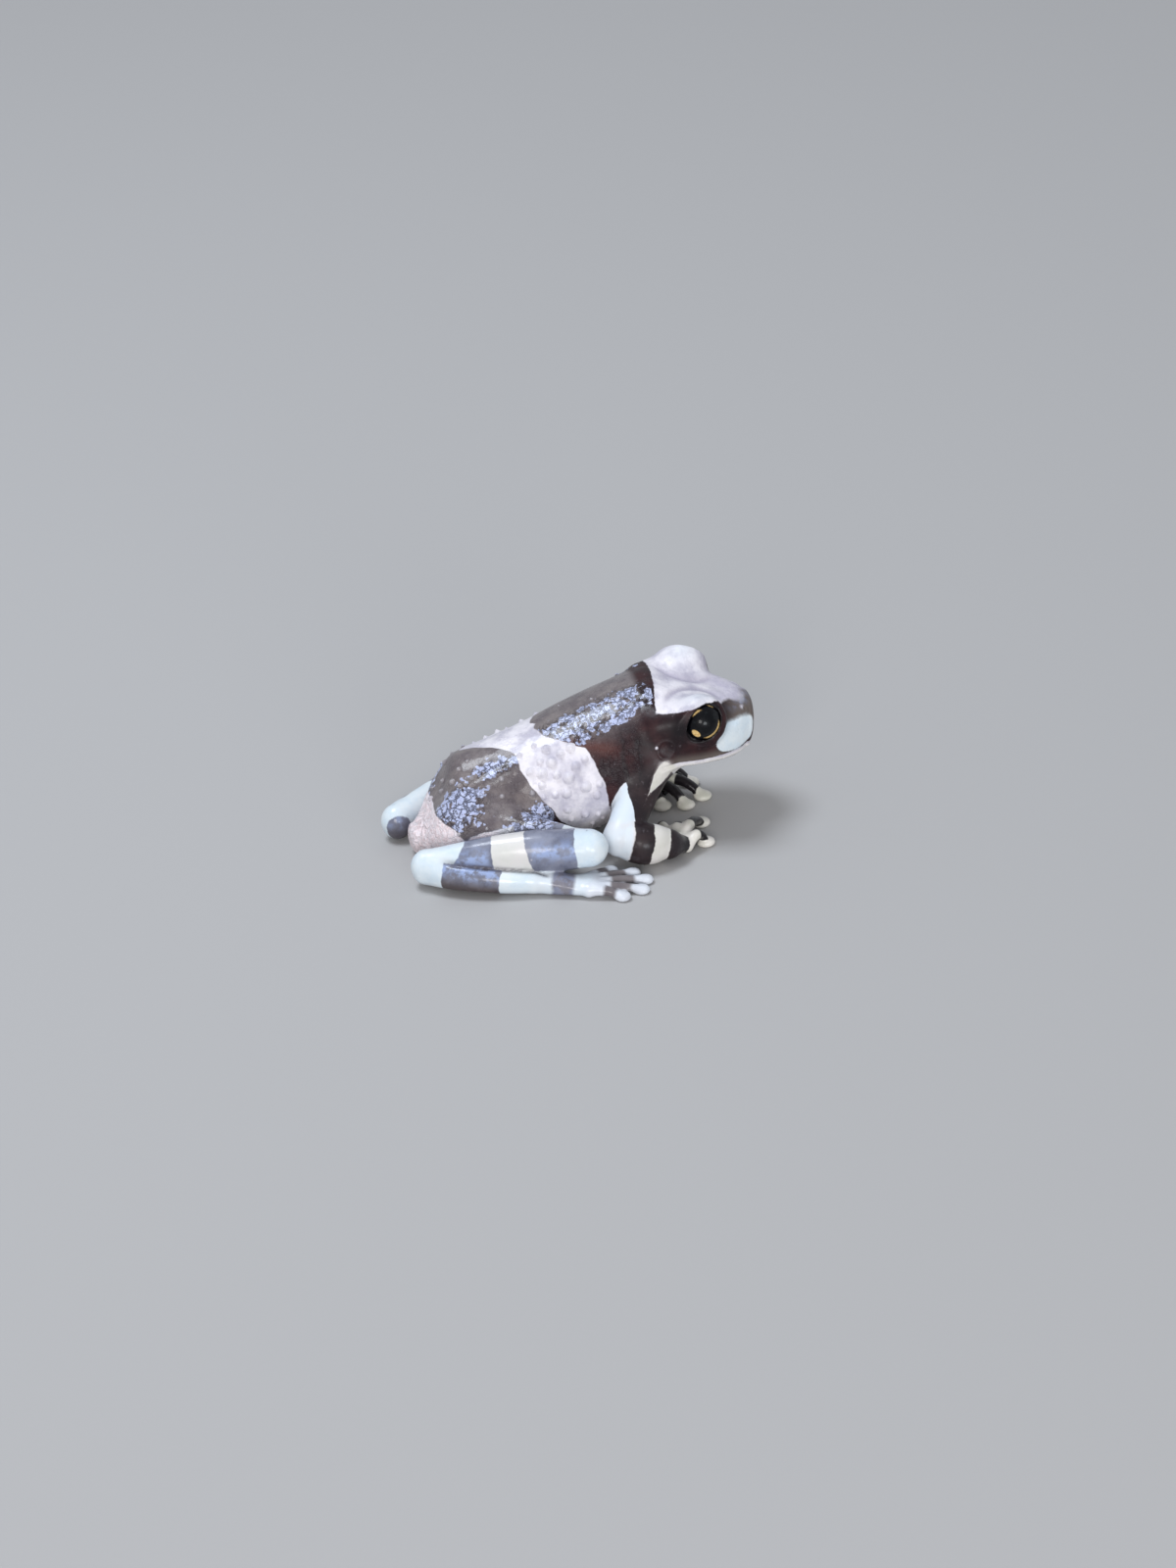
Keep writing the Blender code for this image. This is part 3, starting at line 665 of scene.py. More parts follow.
# Paint weights of the limbs by part; a weight that isn't named is 0
LIMB_ORDER = ("thigh", "shank", "tarsus", "sole", "upper_arm", "forearm", "palm")
PAINTS = {
    "thigh": {"granule": 0.3, "cool": 0.4, "wart_share": 0.22, "wart_size": 0.45},
    "hip": {"granule": 0.8, "fold": 0.5, "wart_share": 0.3, "wart_size": 0.3, "rosy": 1.0},
    "knee": {"cool": 1.0, "granule": 0.1},
    "shank": {"steel": 1.0, "cool": 1.0, "granule": 0.1, "wart_share": 0.05, "wart_size": 0.22},
    "tarsus": {
        "steel": 0.7, "cool": 1.0, "black_and_shade": 0.25, "granule": 0.1, "wart_share": 0.03, "wart_size": 0.2,
    },
    # the soles get a little painted bluish sheen, a painted highlight
    "sole": {"steel": 0.4, "cool": 0.8, "soft": 0.5, "painted_sheen": 0.3, "granule": 0.2},
    "upper_arm": {"cool": 0.8, "black_and_shade": 0.65, "maroon": 0.8, "granule": 0.1},
    "forearm": {"black_and_shade": 0.7, "cream": 0.8, "maroon": 0.8, "granule": 0.1},
    "palm": {"black_and_shade": 1.0, "cream": 1.0, "granule": 0.2},
    "hand": {"black_and_shade": 1.0, "cream": 1.0, "granule": 0.3},
    "foot": {"faded": 0.4, "steel": 0.3, "cool": 0.5, "soft": 0.5, "granule": 0.3},
    "throat": {"cream": 0.9, "cool": 0.1},
}
PAINTS["shank middle"] = {**PAINTS["shank"], "cream": 0.6, "cool": 0.3}
PAINTS["tarsus underside"] = {**PAINTS["tarsus"], "steel": 0.0, "maroon": 0.35}


def tabled(values, table):
    rows = np.array(table, dtype=float)
    return np.interp(values, rows[:, 0], rows[:, 1])


def choose(inner, outer, inside):
    """One signed pattern where inside is above 0 and another elsewhere, with crisp edges between them."""
    pairs = (inner, inside), (outer, -inside), (inner, outer)
    return np.maximum.reduce([np.minimum(a, b) for a, b in pairs])


def banded(along, edges, slants=0.0):
    """Signed distance to the nearest edge of bands across a limb, above 0 where they are dark."""
    offsets = np.stack([along - edge for edge in edges]) + slants
    nearest = np.abs(offsets).min(axis=0)
    crossed = (offsets > 0).sum(axis=0)
    return np.where(crossed % 2 == 1, nearest, -nearest)


def trunk_angle(points):
    level = np.interp(points[:, 0], TRUNK_ROWS[:, 0], TRUNK_ROWS[:, 1])
    return np.degrees(np.arctan2(np.abs(points[:, 1]), points[:, 2] - level))


def trunk_pattern(points):
    x, y, z = points.T
    angle = trunk_angle(points)
    belly = (tabled(x, BELLY_EDGE) - angle) * BELLY_SCALE
    shoulder = np.minimum(x - tabled(angle, SHOULDER_EDGE), belly)
    saddle_edge = tabled(np.where(y > 0, -angle, angle), SADDLE_EDGE)
    saddle = np.minimum.reduce((saddle_edge - x, z - tabled(x, RUMP_EDGE), belly + 1.5))
    return np.maximum(shoulder, saddle)


def throat_offset(points):
    """How far a point lies inside the pale patch between the jaw and the arm, in mm."""
    x, y, z = points.T
    middle_x, middle_z, half_along, half_across = THROAT_PATCH
    slant = math.radians(THROAT_SLANT)
    along = (x - middle_x) * math.cos(slant) + (z - middle_z) * math.sin(slant)
    across = (z - middle_z) * math.cos(slant) - (x - middle_x) * math.sin(slant)
    inside = half_across * (1 - np.hypot(along / half_along, across / (half_across + 0.35 * along)))
    return np.minimum(inside, np.abs(y) - 5.0)


def cheek_offset(head_points):
    """How far a point lies inside the pale spot on the side of the snout, in mm."""
    x, y, z = head_points.T
    middle_x, middle_z, half_x, half_z = CHEEK_SPOT
    inward = np.maximum(3.8 - np.abs(y), 0.0) / 2.3
    shares = (np.abs(x - middle_x) / half_x, np.abs(z - middle_z) / half_z, inward)
    return 2.2 * (1 - sum(share**CHEEK_SQUARENESS for share in shares) ** (1 / CHEEK_SQUARENESS))


def head_pattern(head_points):
    x, y, z = head_points.T
    above_eye = eye_offsets(np.column_stack((x, np.abs(y), z)), "left")[2]
    on_left = step(y, 0.0, 3.0)
    lids = np.minimum(above_eye - tabled(x - EYE[0], LID_LINE) + on_left, CROWN_END + on_left - x)
    snout_width = tabled(x, SNOUT_WIDTH) + 1.2 * on_left
    snout = np.minimum(snout_width - np.abs(y), z - SNOUT_LEVEL + 1.3 * on_left)
    crown = np.minimum(x - CROWN_START - 0.08 * np.minimum(y, 4.0), np.maximum(lids, snout))
    jaw = 0.3 - mouth_offset(head_points) - 0.8 * np.maximum(0.2 - x, 0)
    return -np.maximum.reduce((crown, cheek_offset(head_points), jaw))


def brow_line(head_points):
    """Near 1 along the two arcs where the lids' domes rise from the crown."""
    x, y, z = head_points.T
    arc = crease(np.abs(y) - 1.2 - 0.14 * (x - 6.0) ** 2, 0.65)
    return arc * between(x, 0.5, 2.5, 8.5, 10.0) * (z > 3)


def neck_crease_shade(head_points):
    """Near 1 along the upright creases behind the jaw, which are painted dark as shade with no relief of
    their own.
    """
    x, y, z = head_points.T
    wander = 0.5 * noise(head_points, 2.5, 9)
    lines = np.maximum(crease(x + 2.2 + wander, 0.28), 0.8 * crease(x + 4.6 + wander + 0.2 * z, 0.26))
    return lines * step(np.abs(y), 5.5, 7.0) * between(z, -7.0, -4.5, 0.0, 2.0)


def spot(trunk_x, angle, numbers):
    """A soft spot of the trunk, as strong as the first of its numbers in the middle."""
    strength, middle_x, middle_angle, half_x, half_angle = numbers
    return strength * crease(trunk_x - middle_x, half_x) * crease(angle - middle_angle, half_angle)


def body_look(points, head_points, dark):
    """Paint weights of the trunk and the head, by name."""
    x, y, z = head_points.T
    trunk_x, trunk_y, trunk_z = points.T
    angle = trunk_angle(points)
    mouth = mouth_offset(head_points)
    head = step(x + NAPE, -0.6, 0.6)
    rear = 1 - head
    on_left = trunk_y > 0
    under = step(angle, 100, 125)
    shoulder = step(trunk_x, -4.0, -2.0) * rear
    rump = step(tabled(trunk_x, RUMP_EDGE) - trunk_z, -0.3, 0.6) * step(-trunk_x, 3.0, 8.0)
    pale = -trunk_pattern(points)
    band = step(pale, 0.2, 0.7)
    crest = step(angle - 14 * on_left, 4, 34)
    # The upper shoulder band (ridge) and the spots on the haunch and saddle get painted bluish highlight
    ridge = step(angle - 27 * on_left, 2, 13) * fade(angle, 36, 47) * step(trunk_x, -4.5, -1.5)
    highlight_spots = np.maximum.reduce([spot(trunk_x, angle, numbers) for numbers in PAINTED_HIGHLIGHT_SPOTS])
    painted_highlight = np.maximum(ridge * fade(x, -0.8, 0.2), np.minimum(2.2 * highlight_spots, 1.25) * rear)
    painted_highlight = painted_highlight * step(dark, -0.2, 0.3)
    folded = np.maximum(np.maximum(shoulder, 0.45 * rear) * step(dark, -0.4, 0.4), rear * rump)
    rust = crease(angle - RUST_ANGLE - RUST_SLANT * trunk_x, 6) * between(trunk_x, -2.0, 0.5, 5.0, 8.0)
    jaw = step(-mouth, 0.0, 0.4) * head
    crown = step(-head_pattern(head_points), -0.2, 0.2) * head * (1 - jaw)
    cheek = head * step(cheek_offset(head_points), -0.5, -0.2)
    lips = fade(mouth, 0.2, 1.9) * between(x, 1.0, 3.5, 9.0, 11.0)
    tip = step(x, 8.5, 12.0) * step(mouth, 1.0, 3.0)
    behind_eye = crease(np.hypot(x - EYE[0] + 3.4, z - EYE[2] + 0.6), 2.3)
    # Painted shade down the step of the neck behind the jaw
    neck_step_shade = crease(x + 1.9, 1.2) * fade(z, 0.5, 2.5) * step(angle, 50, 70)
    # Painted shade on the crown: along the valley between the lids, along the creases at the feet of the
    # domes, and greyer towards the snout
    valley = crease(y - 1.6, 1.3) * step(x, 0.5, 2.5)
    # Painted sheen: the tops of the lids' domes are tinted bluish white
    domes = crease(np.hypot(x - 5.2, np.abs(y) - 6.0), 1.9) * (z > 4.5)
    shades = (0.6 * valley, 0.9 * brow_line(head_points), 0.5 * step(x, 7, 9))
    granule = rear * np.maximum(step(pale, -0.3, 0.5), 0.35) * (1 - 0.5 * shoulder)
    wart_share = 0.95 * band * (1 - rump) * crest + 0.3 * (1 - band) * (1 - 0.8 * shoulder)
    wart_growth = 0.6 * band * (1 - under) * crest + 0.24 * (1 - band) * (1 - shoulder)
    maroon = shoulder * step(angle, 22, 62) + head
    return {
        "maroon": np.maximum(maroon, spot(trunk_x, angle, BROWN_SPOT) * rear),
        "rust": 0.55 * rust,
        "steel": np.zeros(len(points)),
        "black_and_shade": np.maximum(head * (0.1 + 0.85 * behind_eye), 0.6 * neck_step_shade),
        "faded": head * np.maximum(lips, 0.9 * tip),
        # Painted highlight: a bluish sheen on the top of the snout
        "painted_sheen": 0.4 * crease(x - 12.2, 1.5) * crease(z - 3.6, 0.5),
        "painted_highlight": painted_highlight,
        "soft": 0.6 * head * step(x, 7.6, 9.4) * step(z, 1.6, 2.6),
        "painted_shade": crown * np.maximum.reduce(shades),
        "cool": np.maximum(cheek, 0.35 * domes * crown),
        "cream": np.maximum(0.6 * jaw, rear * under * 0.5),
        "rosy": np.maximum(rear * rump, rear * under * 0.35),
        "granule": np.maximum(granule, 0.5 * crown),
        "fold": np.maximum(folded * np.where(trunk_x < -4.0, 0.7, 0.3), np.minimum(painted_highlight, 1.0)),
        "wart_share": rear * wart_share,
        "wart_size": 0.36 + wart_growth * (1 - rump),
    }


def by_shank(side, points):
    """Above 0 where the thigh lies close to the shank."""
    return 0.9 - LIMBS[side]["shank"].distance(points)


def limb_pattern(side, name, points):
    form = LIMBS[side][name]
    along = form.along(points)
    if name == "upper_arm":
        front = np.cross(form.ahead, (0.0, 1.0, 0.0))
        front = front / np.linalg.norm(front)
        return ARM_EDGE + ARM_SLANT * form.off_line(points, front) - along
    rise = form.off_line(points, form.up)
    if name == "shank":
        return banded(along, BANDS[name], np.outer(SHANK_SLANTS, rise))
    bands = banded(along, BANDS[name])
    if name == "thigh":
        outer = np.maximum(by_shank(side, points), -rise - 1.2)
        bands = choose(bands, trunk_pattern(points), outer)
        return np.minimum(bands, BANDS[name][1] - along)
    return bands


def paint_details(side, name, points, look, dark, inside):
    """The second coats on one part of a limb, where inside is above 0."""
    form = LIMBS[side][name]
    along = form.along(points)
    rise = form.off_line(points, form.up)
    soft, crisp = step(inside, -0.4, 0.4), step(inside, -0.3, 0.3)
    if name == "thigh":
        blend_paint(look, PAINTS["knee"], soft * step(along, 13.0, 14.5))
        blend_paint(look, PAINTS["hip"], soft * fade(along, 4.5, 7.5) * step(-dark, -0.2, 0.2))
        look["steel"] = np.maximum(look["steel"], step(by_shank(side, points), -0.2, 0.2) * soft)
    if name == "tarsus":
        blend_paint(look, PAINTS["tarsus underside"], fade(rise, -1.0, 0.7) * crisp)
    # Painted highlight: a bluish sheen along the top of the limb
    if name in PAINTED_SHEEN_LEVEL:
        painted_sheen_mask = crease(rise - PAINTED_SHEEN_LEVEL[name], 1.0)
        look["painted_sheen"] = np.maximum(look["painted_sheen"], painted_sheen_mask * crisp)
    if name == "shank":
        blend_paint(look, PAINTS["shank middle"], between(along, 6.5, 7.5, 12.3, 13.3) * crisp)
    if name == "forearm":
        blend_paint(look, PAINTS["upper_arm"], fade(along, 0.9, 1.3) * crisp)


def paint_limbs(points, look, dark, rest):
    """Paints the limbs over the body, whose distance is given, and returns the whole pattern."""
    # The thigh carries on the painted highlight of the haunch
    haunch = {**PAINTS["thigh"], "painted_highlight": look["painted_highlight"], "fold": np.clip(look["painted_highlight"], 0.3, 1.0)}
    for side in SIDES:
        for name in LIMB_ORDER:
            distance = LIMBS[side][name].distance(points)
            inside = rest - distance
            dark = choose(limb_pattern(side, name, points), dark, inside)
            blend_paint(look, haunch if name == "thigh" else PAINTS[name], step(inside, -0.4, 0.4))
            paint_details(side, name, points, look, dark, inside)
            rest = np.minimum(rest, distance)
        for kind in ("hand", "foot"):
            stems, discs, webs = DIGITS[side, kind]
            for form in [*stems, *discs, *webs]:
                distance = form.distance(points)
                inside = rest - distance
                dark = choose(digit_pattern(form, points, kind), dark, inside)
                blend_paint(look, PAINTS[kind], step(inside, -0.2, 0.2))
                rest = np.minimum(rest, distance)
    return dark


def describe(points):
    """The pattern and paint weights of the skin at each point, by name."""
    head_points = to_head(points)
    dark = choose(head_pattern(head_points), trunk_pattern(points), head_points[:, 0] + NAPE)
    body = body_distance(points, head_points)
    look = body_look(points, head_points, dark)
    dark = paint_limbs(points, look, dark, body)
    throat = throat_offset(points)
    dark = np.minimum(dark, -throat)
    blend_paint(look, PAINTS["throat"], step(throat, -0.3, 0.0))
    from_heel = np.linalg.norm((points - FAR_HEEL_SPOT) / FAR_HEEL_STRETCH, axis=1)
    dark = np.maximum(dark, np.minimum(FAR_HEEL_RADIUS - from_heel, body - 0.3))
    # Pale dots of the skin, and one painted highlight by the nostril
    for place, size in DOTS_AND_GLINT:
        dark = np.minimum(dark, np.linalg.norm(head_points - place, axis=1) - size)
    # The rims and insides of the eye openings are painted near-black as shade round the eyeballs, and the
    # neck's creases get painted shade
    rim = lid_rim(head_points)
    folds = 0.85 * neck_crease_shade(head_points) * step(dark, -0.2, 0.2)
    look["black_and_shade"] = np.maximum.reduce((look["black_and_shade"], folds, step(rim, -0.4, 0.1)))
    look["wart_share"] = look["wart_share"] * step(points[:, 2], 0.8, 1.4)
    pairs = [(side, *parts) for side in SIDES for parts in (("shank", "tarsus"), ("thigh", "shank"))]
    look["seam_groove_and_shade"] = np.maximum.reduce([seam_share(points, *pair) for pair in pairs])
    look["dark"] = np.maximum(dark, rim)
    return look


def digit_pattern(form, points, kind):
    if isinstance(form, Form):
        return banded(form.along(points), np.array(DIGIT_BANDS[kind]) * form.length)
    level = 0.3 if isinstance(form, Web) and kind == "hand" else -0.6
    return np.full(len(points), level)


def seam_share(points, side, first, second):
    """Near 1 along the line where two parts of a leg lie against each other; the skin is sunk there as a
    groove and painted darker as shade.
    """
    beyond = LIMBS[side][first].distance(points)
    gap = beyond - LIMBS[side][second].distance(points)
    from_joint = np.linalg.norm(points - LIMBS[side][second].start, axis=1)
    return crease(gap, 0.3) * fade(beyond, 0.5, 1.3) * step(from_joint, 3.0, 5.5)


def blend_paint(look, paint, share):
    for key in look:
        look[key] = look[key] * (1 - share) + paint.get(key, 0.0) * share


def lid_rim(head_points):
    """Above 0 on the rims and inside of the eye openings."""
    found = np.full(len(head_points), -9.0)
    for side in SIDES:
        edge, along = opening_edge(head_points, side)
        found = np.maximum(found, np.where((along > 0) & (along < 4), 0.12 - edge, -9.0))
    return found


def cell_random(cells, seed):
    """Three even random numbers for each whole-numbered cell, the same in every run."""
    a, b, c = np.moveaxis(cells, -1, 0)
    mixed = (a * 73856093) ^ (b * 19349663) ^ (c * 83492791) ^ (seed * 7919)
    found = []
    for salt in (1, 2, 3):
        value = (mixed + salt * 1013904223) & 0xFFFFFFFF
        for _ in range(2):
            value = ((value ^ (value >> 16)) * 0x45D9F3B) & 0xFFFFFFFF
        found.append((value ^ (value >> 16)) / 4294967296.0)
    return np.stack(found, axis=-1)


def noise(points, size, seed):
    """Smooth noise from -1 to 1 with hills about size apart."""
    scaled = points / size
    cell = np.floor(scaled).astype(np.int64)
    t = scaled - cell
    t = t * t * (3 - 2 * t)
    total = np.zeros(len(points))
    for corner in np.ndindex(2, 2, 2):
        weight = np.prod(np.where(corner, t, 1 - t), axis=1)
        total += weight * cell_random(cell + corner, seed)[:, 0]
    return total * 2 - 1


def pebbles(points, size, seed):
    """Low domes packed about size apart, from 0 between them to about 1."""
    scaled = points / size
    cell = np.floor(scaled).astype(np.int64)
    best = np.full(len(points), 9.0)
    tall = np.zeros(len(points))
    for offset in np.ndindex(3, 3, 3):
        near = cell + offset - 1
        random = cell_random(near, seed)
        gap = np.linalg.norm(scaled - near - 0.15 - 0.7 * random, axis=1)
        closer = gap < best
        best = np.where(closer, gap, best)
        tall = np.where(closer, random[:, 0], tall)
    return fade(best, 0.0, 0.75) * (0.55 + 0.45 * tall)


# Heights and depths of the relief, in mm
GRANULE_HEIGHT = 0.075
FOLD_HEIGHT = 0.05
SEAM_DEPTH = 0.32
MOUTH_DEPTH = 0.22
BROW_DEPTH = 0.30
VALLEY_DEPTH = 0.30
HIP_RIDGE_HEIGHT = 0.30


def relief(points, look):
    """How far the skin stands out from its plain form at each point, in mm."""
    local = to_head(points)
    x, y, z = local.T
    trunk_x, trunk_y, trunk_z = points.T
    height = 0.020 * noise(points, 1.7, 3) + 0.012 * noise(points, 0.8, 4)
    height += look["granule"] * GRANULE_HEIGHT * pebbles(points, 0.85, 5)
    height += look["fold"] * FOLD_HEIGHT * noise(points * (1.0, 1.0, 0.5), 0.6, 6)
    height -= look["seam_groove_and_shade"] * SEAM_DEPTH
    mouth = mouth_offset(local)
    lips = step(x, 0.2, 1.4) * step(-z, 1.4, 2.2)
    height += lips * (0.12 * crease(mouth + 0.5, 0.35) + 0.08 * crease(mouth - 0.6, 0.4))
    height -= lips * MOUTH_DEPTH * crease(mouth, 0.22)
    for name, sign in SIDES.items():
        far = np.linalg.norm(local - on_side(NOSTRIL, name), axis=1)
        height += 0.10 * crease(far - 0.45, 0.22) - 0.32 * crease(far, 0.26)
        ear = np.hypot(x - EAR[0], z - EAR[2]) + 5 * (y * sign < 4)
        height += 0.07 * crease(ear - EAR_RADIUS, 0.22) - 0.05 * fade(ear, 0.3, EAR_RADIUS)
        reach = np.linalg.norm(local - on_side(EYE, name), axis=1)
        under_eye = crease(z - (EYE[2] - 2.75 + 0.10 * (x - EYE[0]) ** 2), 0.32) * fade(reach, 3.4, 4.4)
        height += 0.14 * under_eye * (y * sign > 3)
        lore = np.hypot((x - 10.4) / 1.5, (z - 2.4) / 1.0) + 5 * (y * sign < 3)
        height -= 0.16 * fade(lore, 0.2, 1.2)
    height -= BROW_DEPTH * brow_line(local)
    valley = np.abs(y - 1.6 + 0.2 * (x - 5.0)) + 5 * (z < 3)
    height -= VALLEY_DEPTH * crease(valley, 1.4) * between(x, 0.0, 3.0, 8.0, 11.0)
    ridge_y = np.abs(trunk_y) - 4.9 + 0.05 * (trunk_x + 8.0)
    ridge_share = between(trunk_x, -13.0, -10.5, -6.6, -5.0) * (trunk_z > 9.0)
    ridge = HIP_RIDGE_HEIGHT * crease(ridge_y, 0.45) - 0.12 * crease(ridge_y - 1.2, 0.6)
    height += ridge * ridge_share
    return height * step(trunk_z, 0.05, 0.5)


skin_points, skin_faces = refine(*draw_skin())
skin_points, skin_normals = settle(skin_points, 2)
skin_look = describe(skin_points)
skin_points = skin_points + skin_normals * relief(skin_points, skin_look)[:, None]
skin_points[:, 2] = np.maximum(skin_points[:, 2], 0.0)
skin = new_mesh("skin", skin_points, skin_faces, skin_look)


def linear(red, green, blue):
    """A colour given as it looks on a screen, for a socket."""
    parts = [value / 255 for value in (red, green, blue)]
    return tuple(v / 12.92 if v <= 0.04045 else ((v + 0.055) / 1.055) ** 2.4 for v in parts) + (1.0,)


class Wiring:
    """Adds nodes to a tree and joins them."""

    def __init__(self, tree):
        self.tree = tree

    def add(self, kind, inputs=None, **settings):
        node = self.tree.nodes.new(kind)
        for key, value in settings.items():
            setattr(node, key, value)
        for key, value in (inputs or {}).items():
            self.feed(node.inputs[key], value)
        return node

    def feed(self, socket, value):
        if isinstance(value, bpy.types.NodeSocket):
            self.tree.links.new(value, socket)
        else:
            socket.default_value = value

    def math(self, operation, *values):
        return self.add("ShaderNodeMath", dict(enumerate(values)), operation=operation).outputs[0]

    def times(self, a, b):
        return self.math("MULTIPLY", a, b)

    def blend(self, value, factor, extra):
        """The value times the factor, with something added."""
        return self.math("MULTIPLY_ADD", value, factor, extra)

    def ramp(self, value, low, high, to_low=0.0, to_high=1.0):
        inputs = {"Value": value, "From Min": low, "From Max": high, "To Min": to_low, "To Max": to_high}
        return self.add("ShaderNodeMapRange", inputs, interpolation_type="SMOOTHSTEP").outputs[0]

    def mix(self, share, a, b):
        return self.add("ShaderNodeMix", {0: share, 6: a, 7: b}, data_type="RGBA").outputs[2]

    def tones(self, value, low, high, first, second):
        """A colour that runs from one tone to another as the value rises."""
        return self.mix(self.ramp(value, low, high), linear(*first), linear(*second))

    def attribute(self, name):
        return self.add("ShaderNodeAttribute", attribute_name=name).outputs["Fac"]

    def millimetres(self):
        place = self.add("ShaderNodeTexCoord").outputs["Object"]
        return self.add("ShaderNodeVectorMath", {0: place, "Scale": 1000.0}, operation="SCALE").outputs[0]

    def cloud(self, place, scale, detail=2.0, roughness=0.5, output="Fac"):
        inputs = {"Vector": place, "Scale": scale, "Detail": detail, "Roughness": roughness}
        return self.add("ShaderNodeTexNoise", inputs).outputs[output]

    def cells(self, place, scale, feature):
        inputs = {"Vector": place, "Scale": scale}
        return self.add("ShaderNodeTexVoronoi", inputs, feature=feature).outputs["Distance"]

    def group(self, tree, **inputs):
        node = self.add("ShaderNodeGroup", node_tree=tree)
        for key, value in inputs.items():
            self.feed(node.inputs[key.capitalize()], value)
        return node.outputs


def new_group(name, inputs, outputs, kind="ShaderNodeTree"):
    """An empty node group with named sockets."""
    tree = bpy.data.node_groups.new(name, kind)
    for way, sockets in (("INPUT", inputs), ("OUTPUT", outputs)):
        for label, socket in sockets.items():
            tree.interface.new_socket(label, in_out=way, socket_type=f"NodeSocket{socket}")
    wires = Wiring(tree)
    source = wires.add("NodeGroupInput")
    sink = wires.add("NodeGroupOutput")
    return tree, wires, source.outputs, sink.inputs


def build_ragged_edge():
    """A band's edge: a signed distance made a mask, with a small wander."""
    inputs = {"Place": "Vector", "Field": "Float", "Wander": "Float", "Softness": "Float"}
    tree, wires, given, result = new_group("ragged edge", inputs, {"Mask": "Float"})
    coarse = wires.math("SUBTRACT", wires.cloud(given["Place"], 0.55, 1.0), 0.5)
    fine = wires.math("SUBTRACT", wires.cloud(given["Place"], 2.4), 0.5)
    field = wires.blend(wires.math("ADD", coarse, wires.times(fine, 0.4)), given["Wander"], given["Field"])
    low = wires.times(given["Softness"], -1.0)
    wires.feed(result["Mask"], wires.ramp(field, low, given["Softness"]))
    return tree


def build_moist_grain():
    """The skin's own grain: fine leathery grain, packed granules and cracked folds, as a height in mm, with a
    mask of the cracks between the folds that is used to paint shade into them.
    """
    inputs = {"Place": "Vector", "Granules": "Float", "Folds": "Float"}
    tree, wires, given, result = new_group("moist grain", inputs, {"Height": "Float", "CreviceShade": "Float"})
    place = given["Place"]
    sway = {0: wires.cloud(place, 0.8, 3.0, 0.6, "Color"), 1: (2.4, 2.4, 2.4), 2: place}
    bent = wires.add("ShaderNodeVectorMath", sway, operation="MULTIPLY_ADD").outputs[0]
    grain = wires.times(wires.cloud(place, 3.0, 1.0), 0.004)
    domes = wires.times(wires.ramp(wires.cells(place, 2.1, "F1"), 0.0, 0.6, 0.05, 0.0), given["Granules"])
    plate = wires.ramp(wires.cells(bent, 0.95, "DISTANCE_TO_EDGE"), 0.0, 0.16)
    plates = wires.math("ADD", wires.times(plate, 0.12), wires.times(wires.cloud(bent, 1.3), 0.34))
    folds = wires.times(plates, given["Folds"])
    wires.feed(result["Height"], wires.math("ADD", wires.math("ADD", grain, domes), folds))
    wires.feed(result["CreviceShade"], wires.times(wires.math("SUBTRACT", 1.0, plate), given["Folds"]))
    return tree


def new_material(name):
    material = bpy.data.materials.new(name)
    material.use_nodes = True
    return material, Wiring(material.node_tree), material.node_tree.nodes["Principled BSDF"].inputs


